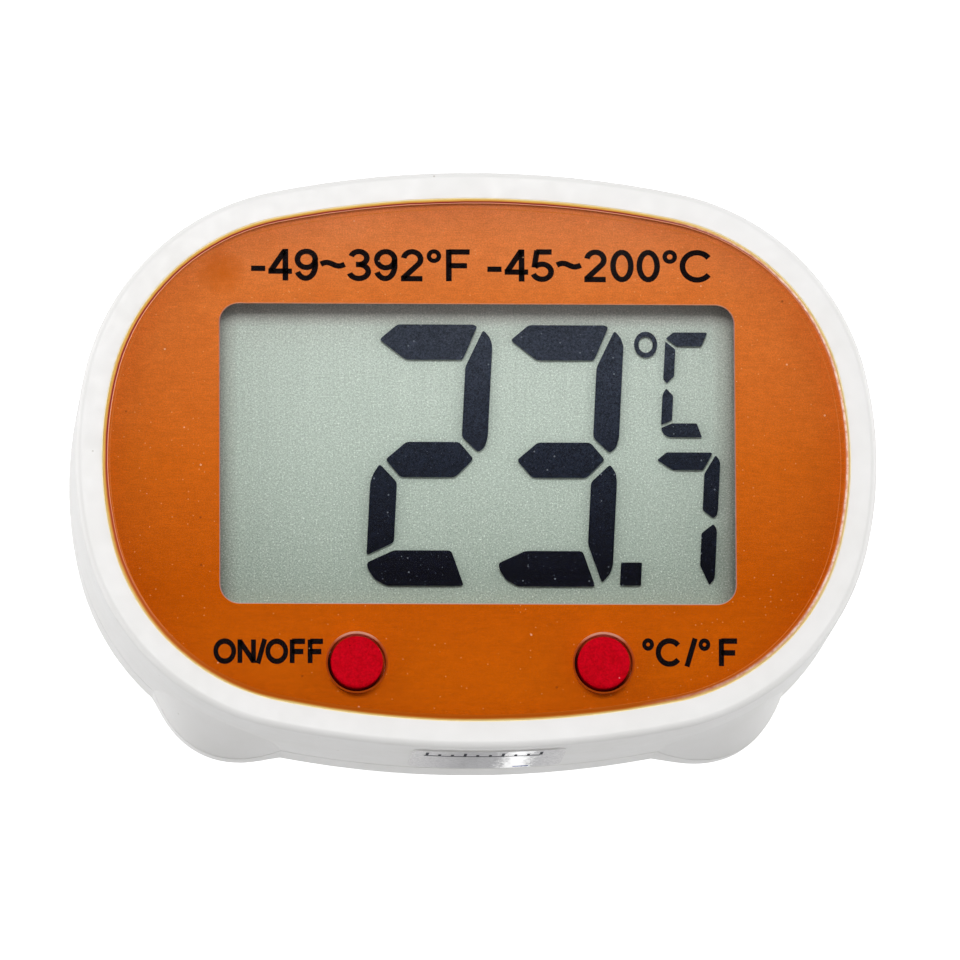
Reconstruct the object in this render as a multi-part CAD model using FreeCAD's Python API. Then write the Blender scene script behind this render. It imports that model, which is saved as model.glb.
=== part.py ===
"""Digital probe thermometer for the darkroom: an oval display head on a long steel stem.

The stem runs along Z, with the display facing +Z and the top of the display towards +Y. The origin
is on the stem's axis, at the end of the boss where the stem leaves the head. Sizes are in mm.
"""

import FreeCAD
import Part

import math
import os

V = FreeCAD.Vector
UP = V(0, 0, 1)

# ---- Head outline: an oval of three tangent radii per quarter, measured at the lens edge.
HALF_WIDTH = 28.05
HALF_HEIGHT = 19.8
TOP_RADIUS = 74.2
CORNER_RADIUS = 16.1
SIDE_RADIUS = 27.1
WALL = 2.0

# ---- Levels along the stem's axis, from the rear of the head to its front.
REAR_FACE_Z = 3.0
REAR_FLOOR_Z = 5.0
SEAM_Z = 9.0
TONGUE_TOP_Z = 10.6
PCB_Z = 13.4
PCB_TOP_Z = 14.4
BACKING_TOP_Z = 16.6
REFLECTOR_TOP_Z = 16.79
REAR_GLASS_Z = 16.8
FRONT_GLASS_Z = 17.5
POLARISER_Z = 18.2
FOAM_Z = 18.4
PLATE_Z = 18.7
PRINT_Z = 19.7
PRINT_TOP_Z = 19.79
LENS_Z = 19.8
FRONT_Z = 21.0
LENS_FRONT_Z = 21.3

# ---- Front casing.
RING_ROUND = 0.5
REAR_ROUND = 2.2
SEAM_BEVEL = 0.15
RECESS_GAP = 0.02
LENS_GAP = 0.06
LENS_BEVEL = 0.4
TONGUE_GAP = 0.1
TONGUE_THICK = 1.0
TONGUE_ROOT = 0.5

# ---- Bulges at the two lower corners, by polar angle round the corner arc's centre.
BULGE_START = 46.0
BULGE_END = 84.0
BULGE_OUT = 1.8
BULGE_ROOT = 0.35
BULGE_INSIDE = 2.6
BULGE_EDGE_ROUND = 0.6
BULGE_TOP_Z = 19.6
BULGE_POINTS = 9
BULGE_LEVELS = 5
BULGE_REAR_SHARE = 0.55

# ---- Display window and glass.
WINDOW_CENTRE_X = 0.14
WINDOW_CENTRE_Y = 0.6
WINDOW_WIDTH = 38.74
WINDOW_HEIGHT = 22.8
WINDOW_ROUND = 1.5
PLATE_WINDOW_MARGIN = 0.25
FOAM_WINDOW_MARGIN = 0.5
GLASS_HALF_WIDTH = 20.6
GLASS_GAP = 0.1
GLASS_BOTTOM_Y = -12.4
REAR_GLASS_TOP_Y = 13.1
FRONT_GLASS_TOP_Y = 15.1
FILM_MARGIN = 0.4
BACKING_BAR = 2.6
BACKING_ROUND = 0.6
ZEBRA_HALF_LENGTH = 17.5
ZEBRA_BOTTOM_Y = 13.3
ZEBRA_TOP_Y = 14.9

# ---- Push buttons.
KEY_CENTRE_X = 0.17
KEY_HALF_PITCH = 9.22
KEY_Y = -15.4
KEY_RADIUS = 1.95
KEY_TOP_Z = 21.55
KEY_BOTTOM_Z = 15.8
KEY_ROUND = 0.22
KEY_FLANGE_RADIUS = 2.5
KEY_FLANGE_Z = 17.9
LENS_HOLE_RADIUS = 2.175
LENS_HOLE_BEVEL = 0.15
PLATE_HOLE_RADIUS = 2.02
DOME_RADIUS = 2.35
DOME_NECK_RADIUS = 1.5
DOME_FOOT = 0.3
DOME_SKIN = 0.35
DOME_TAPER = 0.2

# ---- Circuit board and what it carries.
PCB_INSET = 1.2
PCB_PEG_X = 24.2
PCB_PEG_RADIUS = 1.8
PCB_SCREW_RADIUS = 0.8
PCB_SCREW_HEAD_RADIUS = 1.5
PCB_SCREW_HEAD = 0.8
PCB_SCREW_REACH = 3.2
PCB_SCREW_LENGTH = 2.9
POST_NOTCH = 0.5
CHIP_X = -11.0
CHIP_Y = 3.0
CHIP_RADIUS = 4.6
CHIP_HEIGHT = 1.2
CHIP_ROW_X = -4.5
CHIP_PITCH = 3.0
RESISTOR_Y = -8.0
RESISTOR_SIZE = (1.6, 0.8, 0.5)
CAPACITOR_Y = 7.0
CAPACITOR_SIZE = (2.0, 1.2, 0.9)

# ---- Case screws: two in the bulges at the bottom, two inside the oval at the top.
POST_RADIUS = 2.2
POST_GAP = 0.3
POST_SKIN = 0.1
REAR_POST_EXTRA = 0.2
LOWER_POST = (16.2, 64.0)
UPPER_POST = (15.4, 75.0)
SCREW_RADIUS = 1.1
SCREW_SLOP = 0.04
SCREW_HEAD_RADIUS = 1.7
SCREW_HEAD = 1.3
SCREW_POCKET_RADIUS = 1.9
SCREW_SEAT_Z = 5.5
SCREW_TOP_Z = 15.5
SCREW_HOLE_TOP_Z = 16.0
SCREW_HOLE_GAP = 0.1
SCREW_POINT = 0.9
CROSS_WIDTH = 0.45
CROSS_LENGTH = 2.2
CROSS_DEPTH = 0.7

# ---- Battery bay.
BAY_X = 15.0
BAY_OUTER_RADIUS = 8.4
BAY_TOP_Z = 11.0
CELL_RADIUS = 5.8
CELL_HEIGHT = 5.4
CELL_Z = 6.6
CELL_STEP = 0.2
CELL_RIM = 1.4
WELL_RADIUS = 6.1
FLANGE_POCKET_RADIUS = 7.6
FLANGE_POCKET_TOP_Z = 4.6
THROAT_RADIUS = 6.3
LUG_GROOVE_RADIUS = 7.3
LUG_GROOVE_Z = 5.6
COVER_FLANGE_RADIUS = 7.5
COVER_FLANGE_Z = 4.0
COVER_PLUG_RADIUS = 6.25
COVER_TOP_Z = 6.55
LUG_RADIUS = 7.15
LUG_Z = 5.7
LUG_TOP_Z = 6.5
LUG_ARC = 36.0
LUG_GAP = 0.15
LUG_ROOT = 0.3
COVER_BEVEL = 0.25
COIN_SLOT_WIDTH = 1.6
COIN_SLOT_LENGTH = 10.0
COIN_SLOT_DEPTH = 1.0
OPEN_TURN = 60.0
CONTACT_THICK = 0.25
CONTACT_WIDTH = 3.0
CONTACT_SLOT = 0.2
CONTACT_LOW_Z = 8.2
CONTACT_GAP = 0.02
CONTACT_FOOT = 1.6
LEAF_START_X = 8.0
LEAF_BEND_X = 11.0
LEAF_LOW_X = 14.0
LEAF_END_X = 16.5

# ---- Stem.
STEM_RADIUS = 1.8
STEM_ROOT_RADIUS = 1.6
STEM_BORE = 1.3
STEM_TOP_Z = 11.2
STEM_LENGTH = 125.0
TIP_RADIUS = 1.25
TIP_BORE = 0.95
TIP_LENGTH = 20.0
TIP_TAPER = 2.0
TIP_PLUG_LENGTH = 3.0
TIP_POINT_RADIUS = 0.3
TIP_LAND = 0.6
TIP_SPIGOT = 1.0
BOSS_RADIUS = 6.4
BOSS_END_RADIUS = 4.4
BOSS_INNER_RADIUS = 4.4
BOSS_ROUND = 0.8
STEM_CLEARANCE = 0.05
BOSS_RELIEF = 0.4
FERRULE_RADIUS = 3.2
FERRULE_NECK_RADIUS = 2.4
FERRULE_LENGTH = 1.6
ORING_MID_Z = 2.2
ORING_SECTION = 0.42
ORING_GAP = 0.08
ORING_SQUASH = 0.08
SEAL_GAP = 0.01
BEAD_RADIUS = 0.62
BEAD_LENGTH = 2.0
BEAD_RISE = 3.2
FILLER_LENGTH = 6.0
LEAD_RADIUS = 0.2
LEAD_X = 0.36

# ---- Foil label on the lower side wall.
LABEL_CENTRE_X = 1.0
LABEL_WIDTH = 11.5
LABEL_BOTTOM_Z = 10.2
LABEL_TOP_Z = 19.4
LABEL_THICK = 0.12
LABEL_ROUND = 1.0

LEFT_KEY_X = KEY_CENTRE_X - KEY_HALF_PITCH
RIGHT_KEY_X = KEY_CENTRE_X + KEY_HALF_PITCH
QUARTERS = [(1, 1), (-1, 1), (-1, -1), (1, -1)]
LOWER_SIDES = [-1, 1]


# ---------------------------------------------------------------- outline of the head
def corner_centre():
    """Centre of the corner arc, which is tangent inside both the top arc and the side arc."""
    top_y = HALF_HEIGHT - TOP_RADIUS
    side_x = HALF_WIDTH - SIDE_RADIUS
    to_top = TOP_RADIUS - CORNER_RADIUS
    to_side = SIDE_RADIUS - CORNER_RADIUS
    apart = math.hypot(side_x, top_y)
    along = (to_side**2 - to_top**2 + apart**2) / (2 * apart)
    across = math.sqrt(to_side**2 - along**2)
    ux = -side_x / apart
    uy = top_y / apart
    return side_x + along * ux - across * uy, along * uy + across * ux


CORNER_X, CORNER_Y = corner_centre()
TOP_ANGLE = math.degrees(math.atan2(CORNER_X, CORNER_Y - HALF_HEIGHT + TOP_RADIUS))
SIDE_ANGLE = math.degrees(math.atan2(CORNER_Y, CORNER_X - HALF_WIDTH + SIDE_RADIUS))


def polar(cx, cy, radius, angle, z):
    """Point at a radius and an angle in degrees round (cx, cy)."""
    a = math.radians(angle)
    return V(cx + radius * math.cos(a), cy + radius * math.sin(a), z)


def arc(cx, cy, radius, start, end, z):
    """Circular edge from one angle to another round (cx, cy)."""
    middle = (start + end) / 2
    ends = [polar(cx, cy, radius, a, z) for a in (start, middle, end)]
    return Part.Arc(*ends).toShape()


def oval_wire(offset, z):
    """The head's outline, moved outwards by offset."""
    top_y = HALF_HEIGHT - TOP_RADIUS
    side_x = HALF_WIDTH - SIDE_RADIUS
    r_top = TOP_RADIUS + offset
    r_corner = CORNER_RADIUS + offset
    r_side = SIDE_RADIUS + offset
    high = 90 - TOP_ANGLE
    low = SIDE_ANGLE
    edges = [
        arc(side_x, 0, r_side, -low, low, z),
        arc(CORNER_X, CORNER_Y, r_corner, low, high, z),
        arc(0, top_y, r_top, high, 180 - high, z),
        arc(-CORNER_X, CORNER_Y, r_corner, 180 - high, 180 - low, z),
        arc(-side_x, 0, r_side, 180 - low, 180 + low, z),
        arc(-CORNER_X, -CORNER_Y, r_corner, 180 + low, 180 + high, z),
        arc(0, -top_y, r_top, 180 + high, 360 - high, z),
        arc(CORNER_X, -CORNER_Y, r_corner, 360 - high, 360 - low, z),
    ]
    return Part.Wire(edges)


def oval(offset, z0, z1):
    """Solid of the head's outline between two levels."""
    return Part.Face(oval_wire(offset, z0)).extrude(V(0, 0, z1 - z0))


# ---------------------------------------------------------------- plain solids
def cylinder(x, y, radius, z0, z1):
    return Part.makeCylinder(radius, z1 - z0, V(x, y, z0), UP)


def tube(x, y, outer, inner, z0, z1):
    return cylinder(x, y, outer, z0, z1).cut(cylinder(x, y, inner, z0, z1))


def block(x0, x1, y0, y1, z0, z1):
    return Part.makeBox(x1 - x0, y1 - y0, z1 - z0, V(x0, y0, z0))


def rounded_block(x0, x1, y0, y1, z0, z1, radius):
    """Block with its four upright edges rounded."""
    body = block(x0, x1, y0, y1, z0, z1)
    upright = [e for e in body.Edges if abs(e.tangentAt(e.FirstParameter).z) > 0.9]
    return body.makeFillet(radius, upright)


def turned(profile, x=0.0, y=0.0):
    """Solid turned about a vertical axis from a closed list of (radius, z)."""
    points = [V(x + r, y, z) for r, z in profile]
    points.append(points[0])
    return Part.Face(Part.makePolygon(points)).revolve(V(x, y, 0), UP, 360)


def edges_at(shape, z, x=None, y=None, radius=None):
    """Edges that lie flat at one level, and round (x, y) within a radius when that is given."""
    found = []
    for edge in shape.Edges:
        box = edge.BoundBox
        if abs(box.ZMin - z) > 1e-4 or abs(box.ZMax - z) > 1e-4:
            continue
        if radius is not None:
            centre = V(box.Center.x, box.Center.y, 0)
            if centre.distanceToPoint(V(x, y, 0)) > 0.05 or abs(box.XLength / 2 - radius) > 0.05:
                continue
        found.append(edge)
    return found


def post_places():
    """Axes of the four case screws."""
    places = []
    for sx, sy in QUARTERS:
        reach, angle = UPPER_POST if sy > 0 else LOWER_POST
        point = polar(CORNER_X, CORNER_Y, reach, angle, 0)
        places.append((sx * point.x, sy * point.y))
    return places


def window(margin, z0, z1, radius=WINDOW_ROUND):
    """The display window's shape, grown by a margin."""
    half_w = WINDOW_WIDTH / 2 + margin
    half_h = WINDOW_HEIGHT / 2 + margin
    x = WINDOW_CENTRE_X
    y = WINDOW_CENTRE_Y
    return rounded_block(x - half_w, x + half_w, y - half_h, y + half_h, z0, z1, radius)


# ---------------------------------------------------------------- bulges at the lower corners
def bulge_share(z):
    """How far out the bulge stands at a level, from 0 under the ring to 1 at the seam."""
    if z >= SEAM_Z:
        return ((BULGE_TOP_Z - z) / (BULGE_TOP_Z - SEAM_Z)) ** 2
    down = (SEAM_Z - z) / (SEAM_Z - REAR_FACE_Z)
    return 1 - BULGE_REAR_SHARE * down**3


def bulge_wire(side, z):
    """Closed section of one bulge: a smooth outer curve, closed by straight edges inside the wall."""
    wall_radius = CORNER_RADIUS + WALL
    start_radius = wall_radius - BULGE_ROOT
    height = bulge_share(z) * (BULGE_OUT + BULGE_ROOT)
    outer = []
    for i in range(BULGE_POINTS):
        t = i / (BULGE_POINTS - 1)
        angle = BULGE_START + t * (BULGE_END - BULGE_START)
        rise = height * math.sin(math.pi * t)
        p = polar(CORNER_X, CORNER_Y, start_radius + rise, angle, z)
        outer.append(V(side * p.x, -p.y, z))
    curve = Part.BSplineCurve()
    curve.interpolate(outer)
    root = wall_radius - BULGE_INSIDE
    inner = [polar(CORNER_X, CORNER_Y, root, a, z) for a in (BULGE_END, BULGE_START)]
    inner = [V(side * p.x, -p.y, z) for p in inner]
    corners = [outer[-1], inner[0], inner[1], outer[0]]
    straight = [Part.makeLine(a, b) for a, b in zip(corners, corners[1:])]
    return Part.Wire([curve.toShape()] + straight)


def bulge(side, z0, z1):
    """One bulge between two levels."""
    levels = [z0 + (z1 - z0) * i / (BULGE_LEVELS - 1) for i in range(BULGE_LEVELS)]
    return Part.makeLoft([bulge_wire(side, z) for z in levels], True, False)


# ---------------------------------------------------------------- casing
def bevelled_at_seam(shell):
    """Breaks the outer edge where the two shells meet, which leaves a fine groove."""
    shell = shell.removeSplitter()
    return shell.makeChamfer(SEAM_BEVEL, edges_at(shell, SEAM_Z))


def front_casing():
    """White front shell: ring, side wall, face plate, screw posts and board pegs."""
    shell = oval(WALL, SEAM_Z, FRONT_Z)
    shell = shell.makeFillet(RING_ROUND, edges_at(shell, FRONT_Z))
    for side in LOWER_SIDES:
        shell = shell.fuse(bulge(side, SEAM_Z, BULGE_TOP_Z))
    shell = bevelled_at_seam(shell)
    shell = shell.cut(oval(0, SEAM_Z, PLATE_Z))
    envelope = oval(WALL - POST_SKIN, SEAM_Z, PLATE_Z)
    for x, y in post_places():
        shell = shell.fuse(cylinder(x, y, POST_RADIUS, SEAM_Z, PLATE_Z).common(envelope))
        shell = shell.cut(cylinder(x, y, SCREW_RADIUS + SCREW_SLOP, SEAM_Z, SCREW_HOLE_TOP_Z))
    for x in (-PCB_PEG_X, PCB_PEG_X):
        shell = shell.fuse(cylinder(x, 0, PCB_PEG_RADIUS, PCB_TOP_Z, PLATE_Z))
        hole_top = PCB_TOP_Z + PCB_SCREW_REACH
        shell = shell.cut(cylinder(x, 0, PCB_SCREW_RADIUS + SCREW_SLOP, PCB_TOP_Z, hole_top))
    shell = shell.cut(oval(RECESS_GAP, PRINT_Z, FRONT_Z))
    shell = shell.cut(window(PLATE_WINDOW_MARGIN, PLATE_Z, PRINT_Z))
    for x in (LEFT_KEY_X, RIGHT_KEY_X):
        shell = shell.cut(cylinder(x, KEY_Y, PLATE_HOLE_RADIUS, PLATE_Z, PRINT_Z))
    return shell.removeSplitter()


def stem_boss():
    """Tapered boss behind the head, with its inner end standing up inside the case."""
    outside = turned([(0, 0), (BOSS_END_RADIUS, 0), (BOSS_RADIUS, REAR_FACE_Z), (0, REAR_FACE_Z)])
    outside = outside.makeFillet(BOSS_ROUND, edges_at(outside, 0))
    return outside.fuse(cylinder(0, 0, BOSS_INNER_RADIUS, REAR_FACE_Z, SEAM_Z))


def battery_bay_cut():
    """Everything that is hollow in the battery bay."""
    pocket = cylinder(BAY_X, 0, FLANGE_POCKET_RADIUS, REAR_FACE_Z, FLANGE_POCKET_TOP_Z)
    throat = cylinder(BAY_X, 0, THROAT_RADIUS, FLANGE_POCKET_TOP_Z, LUG_GROOVE_Z)
    groove = cylinder(BAY_X, 0, LUG_GROOVE_RADIUS, LUG_GROOVE_Z, CELL_Z)
    well = cylinder(BAY_X, 0, WELL_RADIUS, CELL_Z, BAY_TOP_Z)
    hollow = pocket.fuse([throat, groove, well])
    for turn in (0, 180):
        way_in = lug(turn - OPEN_TURN, LUG_GAP, FLANGE_POCKET_TOP_Z, LUG_GROOVE_Z)
        hollow = hollow.fuse(way_in)
    side = BAY_X + CELL_RADIUS
    reach = CONTACT_WIDTH / 2 + CONTACT_SLOT
    deep = CONTACT_THICK + CONTACT_SLOT
    slot = block(side, side + deep, -reach, reach, CONTACT_LOW_Z - CONTACT_SLOT, BAY_TOP_Z)
    return hollow.fuse(slot)


def rear_cover():
    """White rear shell: dished back, stem boss, battery bay, screw pockets and locating tongue."""
    shell = oval(WALL, REAR_FACE_Z, SEAM_Z)
    shell = shell.makeFillet(REAR_ROUND, edges_at(shell, REAR_FACE_Z))
    for side in LOWER_SIDES:
        foot = bulge(side, REAR_FACE_Z, SEAM_Z)
        outer_edge = max(edges_at(foot, REAR_FACE_Z), key=lambda edge: edge.Length)
        shell = shell.fuse(foot.makeFillet(BULGE_EDGE_ROUND, [outer_edge]))
    shell = bevelled_at_seam(shell)
    shell = shell.cut(oval(0, REAR_FLOOR_Z, SEAM_Z))
    shell = shell.fuse(stem_boss())
    shell = shell.fuse(cylinder(BAY_X, 0, BAY_OUTER_RADIUS, REAR_FACE_Z, BAY_TOP_Z))
    inside = -TONGUE_GAP - TONGUE_THICK
    tongue = oval(-TONGUE_GAP, REAR_FLOOR_Z, TONGUE_TOP_Z)
    tongue = tongue.fuse(oval(TONGUE_ROOT, REAR_FLOOR_Z, SEAM_Z))
    tongue = tongue.cut(oval(inside, REAR_FLOOR_Z, TONGUE_TOP_Z))
    envelope = oval(WALL - POST_SKIN, REAR_FLOOR_Z, SEAM_Z)
    post = POST_RADIUS + REAR_POST_EXTRA
    for x, y in post_places():
        tongue = tongue.cut(cylinder(x, y, POST_RADIUS + POST_GAP, SEAM_Z, TONGUE_TOP_Z))
        shell = shell.fuse(cylinder(x, y, post, REAR_FLOOR_Z, SEAM_Z).common(envelope))
    shell = shell.fuse(tongue)
    for x, y in post_places():
        shell = shell.cut(cylinder(x, y, SCREW_POCKET_RADIUS, REAR_FACE_Z, SCREW_SEAT_Z))
        shell = shell.cut(cylinder(x, y, SCREW_RADIUS + SCREW_HOLE_GAP, SCREW_SEAT_Z, SEAM_Z))
    shell = shell.cut(battery_bay_cut())
    shell = shell.cut(cylinder(0, 0, STEM_ROOT_RADIUS + STEM_CLEARANCE, 0, SEAM_Z))
    shell = shell.cut(cylinder(0, 0, STEM_RADIUS + STEM_CLEARANCE, 0, BOSS_RELIEF))
    groove_half = ORING_SECTION + ORING_GAP
    groove_radius = STEM_ROOT_RADIUS + 2 * ORING_SECTION + ORING_GAP
    groove = cylinder(0, 0, groove_radius, ORING_MID_Z - groove_half, ORING_MID_Z + groove_half)
    return shell.cut(groove).removeSplitter()


def clear_lens():
    """Clear oval panel with a bevelled front edge and two button holes."""
    lens = oval(-LENS_GAP, LENS_Z, LENS_FRONT_Z)
    lens = lens.makeChamfer(LENS_BEVEL, edges_at(lens, LENS_FRONT_Z))
    for x in (LEFT_KEY_X, RIGHT_KEY_X):
        lens = lens.cut(cylinder(x, KEY_Y, LENS_HOLE_RADIUS, LENS_Z, LENS_FRONT_Z))
        mouth = edges_at(lens, LENS_FRONT_Z, x, KEY_Y, LENS_HOLE_RADIUS)
        lens = lens.makeChamfer(LENS_HOLE_BEVEL, mouth)
    return lens


def orange_print():
    """Printed layer on the back of the lens, open at the display window and the buttons."""
    levels = (PRINT_Z, PRINT_TOP_Z)
    layer = oval(-LENS_GAP, *levels).cut(window(0, *levels))
    for x in (LEFT_KEY_X, RIGHT_KEY_X):
        layer = layer.cut(cylinder(x, KEY_Y, LENS_HOLE_RADIUS, *levels))
    return layer


def foil_label():
    """Thin foil that follows the curve of the lower side wall."""
    inner = TOP_RADIUS + WALL
    centre_y = TOP_RADIUS - HALF_HEIGHT
    ring = tube(0, centre_y, inner + LABEL_THICK, inner, LABEL_BOTTOM_Z, LABEL_TOP_Z)
    half = LABEL_WIDTH / 2
    x = LABEL_CENTRE_X
    crop = block(x - half, x + half, -HALF_HEIGHT - 2 * WALL, 0, LABEL_BOTTOM_Z, LABEL_TOP_Z)
    label = ring.common(crop)
    corners = [edge for edge in label.Edges if edge.Length < 2 * LABEL_THICK]
    return label.makeFillet(LABEL_ROUND, corners)


# ---------------------------------------------------------------- display
def glass(top_y, z0, z1):
    """One plate of the display, from its lower edge up to top_y."""
    return block(-GLASS_HALF_WIDTH, GLASS_HALF_WIDTH, GLASS_BOTTOM_Y, top_y, z0, z1)


def film(z0, z1):
    """Polarising film, a little smaller than the rear glass."""
    m = FILM_MARGIN
    half = GLASS_HALF_WIDTH - m
    return block(-half, half, GLASS_BOTTOM_Y + m, REAR_GLASS_TOP_Y - m, z0, z1)


def lcd_foam_frame():
    """Soft black frame that the display is pressed against."""
    half = GLASS_HALF_WIDTH - GLASS_GAP
    outer = block(-half, half, GLASS_BOTTOM_Y + GLASS_GAP, REAR_GLASS_TOP_Y, FOAM_Z, PLATE_Z)
    return outer.cut(window(FOAM_WINDOW_MARGIN, FOAM_Z, PLATE_Z))


def lcd_backing_frame():
    """Moulded frame between the board and the display, with an open middle."""
    side = GLASS_HALF_WIDTH + GLASS_GAP
    low_y = GLASS_BOTTOM_Y - GLASS_GAP
    high_y = REAR_GLASS_TOP_Y + GLASS_GAP
    levels = (PCB_TOP_Z, BACKING_TOP_Z)
    outer = rounded_block(-side, side, low_y, high_y, *levels, BACKING_ROUND)
    m = BACKING_BAR
    inner = rounded_block(m - side, side - m, low_y + m, high_y - m, *levels, BACKING_ROUND)
    return outer.cut(inner)


def zebra_strip():
    """Striped elastomer that joins the front glass's contact ledge to the board."""
    half = ZEBRA_HALF_LENGTH
    return block(-half, half, ZEBRA_BOTTOM_Y, ZEBRA_TOP_Y, PCB_TOP_Z, FRONT_GLASS_Z)


# ---------------------------------------------------------------- buttons
def push_key(x):
    """Round plunger with the flange that keeps it behind the face plate."""
    stem = cylinder(x, KEY_Y, KEY_RADIUS, KEY_BOTTOM_Z, KEY_TOP_Z)
    stem = stem.makeFillet(KEY_ROUND, edges_at(stem, KEY_TOP_Z))
    return stem.fuse(cylinder(x, KEY_Y, KEY_FLANGE_RADIUS, KEY_FLANGE_Z, PLATE_Z)).removeSplitter()


def return_dome(x):
    """Hollow silicone dome on the board, with a flat top under the key."""
    foot_z = PCB_TOP_Z + DOME_FOOT
    neck_z = KEY_BOTTOM_Z - DOME_SKIN
    outer = [
        (0, PCB_TOP_Z),
        (DOME_RADIUS, PCB_TOP_Z),
        (DOME_RADIUS, foot_z),
        (DOME_NECK_RADIUS + DOME_TAPER, neck_z),
        (DOME_NECK_RADIUS, KEY_BOTTOM_Z),
        (0, KEY_BOTTOM_Z),
    ]
    inner = [
        (0, PCB_TOP_Z),
        (DOME_RADIUS - DOME_SKIN, PCB_TOP_Z),
        (DOME_NECK_RADIUS - DOME_TAPER, neck_z - DOME_SKIN),
        (0, neck_z - DOME_SKIN),
    ]
    return turned(outer, x, KEY_Y).cut(turned(inner, x, KEY_Y))


# ---------------------------------------------------------------- board
def main_pcb():
    """Oval board, notched round the screw posts and drilled for its two screws."""
    board = oval(-PCB_INSET, PCB_Z, PCB_TOP_Z)
    for x, y in post_places():
        board = board.cut(cylinder(x, y, POST_RADIUS + POST_NOTCH, PCB_Z, PCB_TOP_Z))
    for x in (-PCB_PEG_X, PCB_PEG_X):
        board = board.cut(cylinder(x, 0, PCB_SCREW_RADIUS + SCREW_HOLE_GAP, PCB_Z, PCB_TOP_Z))
    return board


def cob_chip():
    """Epoxy blob over the chip, a shallow cap of a sphere under the board."""
    sphere_radius = (CHIP_RADIUS**2 + CHIP_HEIGHT**2) / (2 * CHIP_HEIGHT)
    ball = Part.makeSphere(sphere_radius, V(CHIP_X, CHIP_Y, PCB_Z - CHIP_HEIGHT + sphere_radius))
    disc = cylinder(CHIP_X, CHIP_Y, 2 * CHIP_RADIUS, PCB_Z - CHIP_HEIGHT, PCB_Z)
    return ball.common(disc)


def chip_row(count, y, size):
    """Row of equal surface-mount parts under the board."""
    length, width, height = size
    starts = [CHIP_ROW_X + CHIP_PITCH * i for i in range(count)]
    parts = [block(x, x + length, y, y + width, PCB_Z - height, PCB_Z) for x in starts]
    return Part.makeCompound(parts)


def chip_resistors():
    return chip_row(4, RESISTOR_Y, RESISTOR_SIZE)


def chip_capacitors():
    return chip_row(3, CAPACITOR_Y, CAPACITOR_SIZE)


def pan_screw(x, y, radius, head_radius, head, seat_z, top_z):
    """Screw driven upwards: head below seat_z, shank up to a short point at top_z."""
    point = radius * SCREW_POINT
    shank = [
        (0, seat_z),
        (radius, seat_z),
        (radius, top_z - point),
        (radius / 3, top_z),
        (0, top_z),
    ]
    cap = cylinder(x, y, head_radius, seat_z - head, seat_z)
    cap = cap.makeFillet(head / 3, edges_at(cap, seat_z - head))
    screw = cap.fuse(turned(shank, x, y))
    reach = head_radius * CROSS_LENGTH / (2 * SCREW_HEAD_RADIUS)
    half = CROSS_WIDTH / 2
    depth = head * CROSS_DEPTH / SCREW_HEAD
    low = seat_z - head
    for dx, dy in ((reach, half), (half, reach)):
        screw = screw.cut(block(x - dx, x + dx, y - dy, y + dy, low, low + depth))
    return screw.removeSplitter()


def pcb_screws():
    head = (PCB_SCREW_HEAD_RADIUS, PCB_SCREW_HEAD)
    levels = (PCB_Z, PCB_TOP_Z + PCB_SCREW_LENGTH)
    screws = [pan_screw(x, 0, PCB_SCREW_RADIUS, *head, *levels) for x in (-PCB_PEG_X, PCB_PEG_X)]
    return Part.makeCompound(screws)


def case_screws():
    head = (SCREW_HEAD_RADIUS, SCREW_HEAD)
    levels = (SCREW_SEAT_Z, SCREW_TOP_Z)
    screws = [pan_screw(x, y, SCREW_RADIUS, *head, *levels) for x, y in post_places()]
    return Part.makeCompound(screws)


# ---------------------------------------------------------------- battery
def button_cell():
    """Alkaline button cell, case downwards and the smaller cap upwards."""
    top = CELL_Z + CELL_HEIGHT
    step = CELL_STEP
    rim = CELL_RADIUS - CELL_RIM
    profile = [(0, CELL_Z), (CELL_RADIUS, CELL_Z), (CELL_RADIUS, top - 2 * step)]
    profile += [(CELL_RADIUS - step, top - step), (rim + step, top - step), (rim, top), (0, top)]
    return turned(profile, BAY_X, 0)


def lug(turn, margin, z0, z1):
    """Bayonet lug of the battery cover: a ring segment centred on an angle, grown by a margin."""
    wide = LUG_ARC / 2 + math.degrees(margin / LUG_RADIUS)
    first = turn - wide
    last = turn + wide
    outer = LUG_RADIUS + margin
    inner = COVER_PLUG_RADIUS - LUG_ROOT
    corners = [polar(BAY_X, 0, r, a, z0) for r in (outer, inner) for a in (first, last)]
    edges = [
        arc(BAY_X, 0, outer, first, last, z0),
        Part.makeLine(corners[1], corners[3]),
        arc(BAY_X, 0, inner, last, first, z0),
        Part.makeLine(corners[2], corners[0]),
    ]
    return Part.Face(Part.Wire(edges)).extrude(V(0, 0, z1 - z0))


def battery_cover():
    """Round cover with a coin slot and two bayonet lugs."""
    flange = cylinder(BAY_X, 0, COVER_FLANGE_RADIUS, REAR_FACE_Z, COVER_FLANGE_Z)
    flange = flange.makeChamfer(COVER_BEVEL, edges_at(flange, REAR_FACE_Z))
    cover = flange.fuse(cylinder(BAY_X, 0, COVER_PLUG_RADIUS, COVER_FLANGE_Z, COVER_TOP_Z))
    for turn in (0, 180):
        cover = cover.fuse(lug(turn, 0, LUG_Z, LUG_TOP_Z))
    half = COIN_SLOT_WIDTH / 2
    reach = COIN_SLOT_LENGTH / 2
    top = REAR_FACE_Z + COIN_SLOT_DEPTH
    slot = block(BAY_X - half, BAY_X + half, -reach, reach, REAR_FACE_Z, top)
    for y in (-reach, reach):
        slot = slot.fuse(cylinder(BAY_X, y, half, REAR_FACE_Z, top))
    return cover.cut(slot).removeSplitter()


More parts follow.
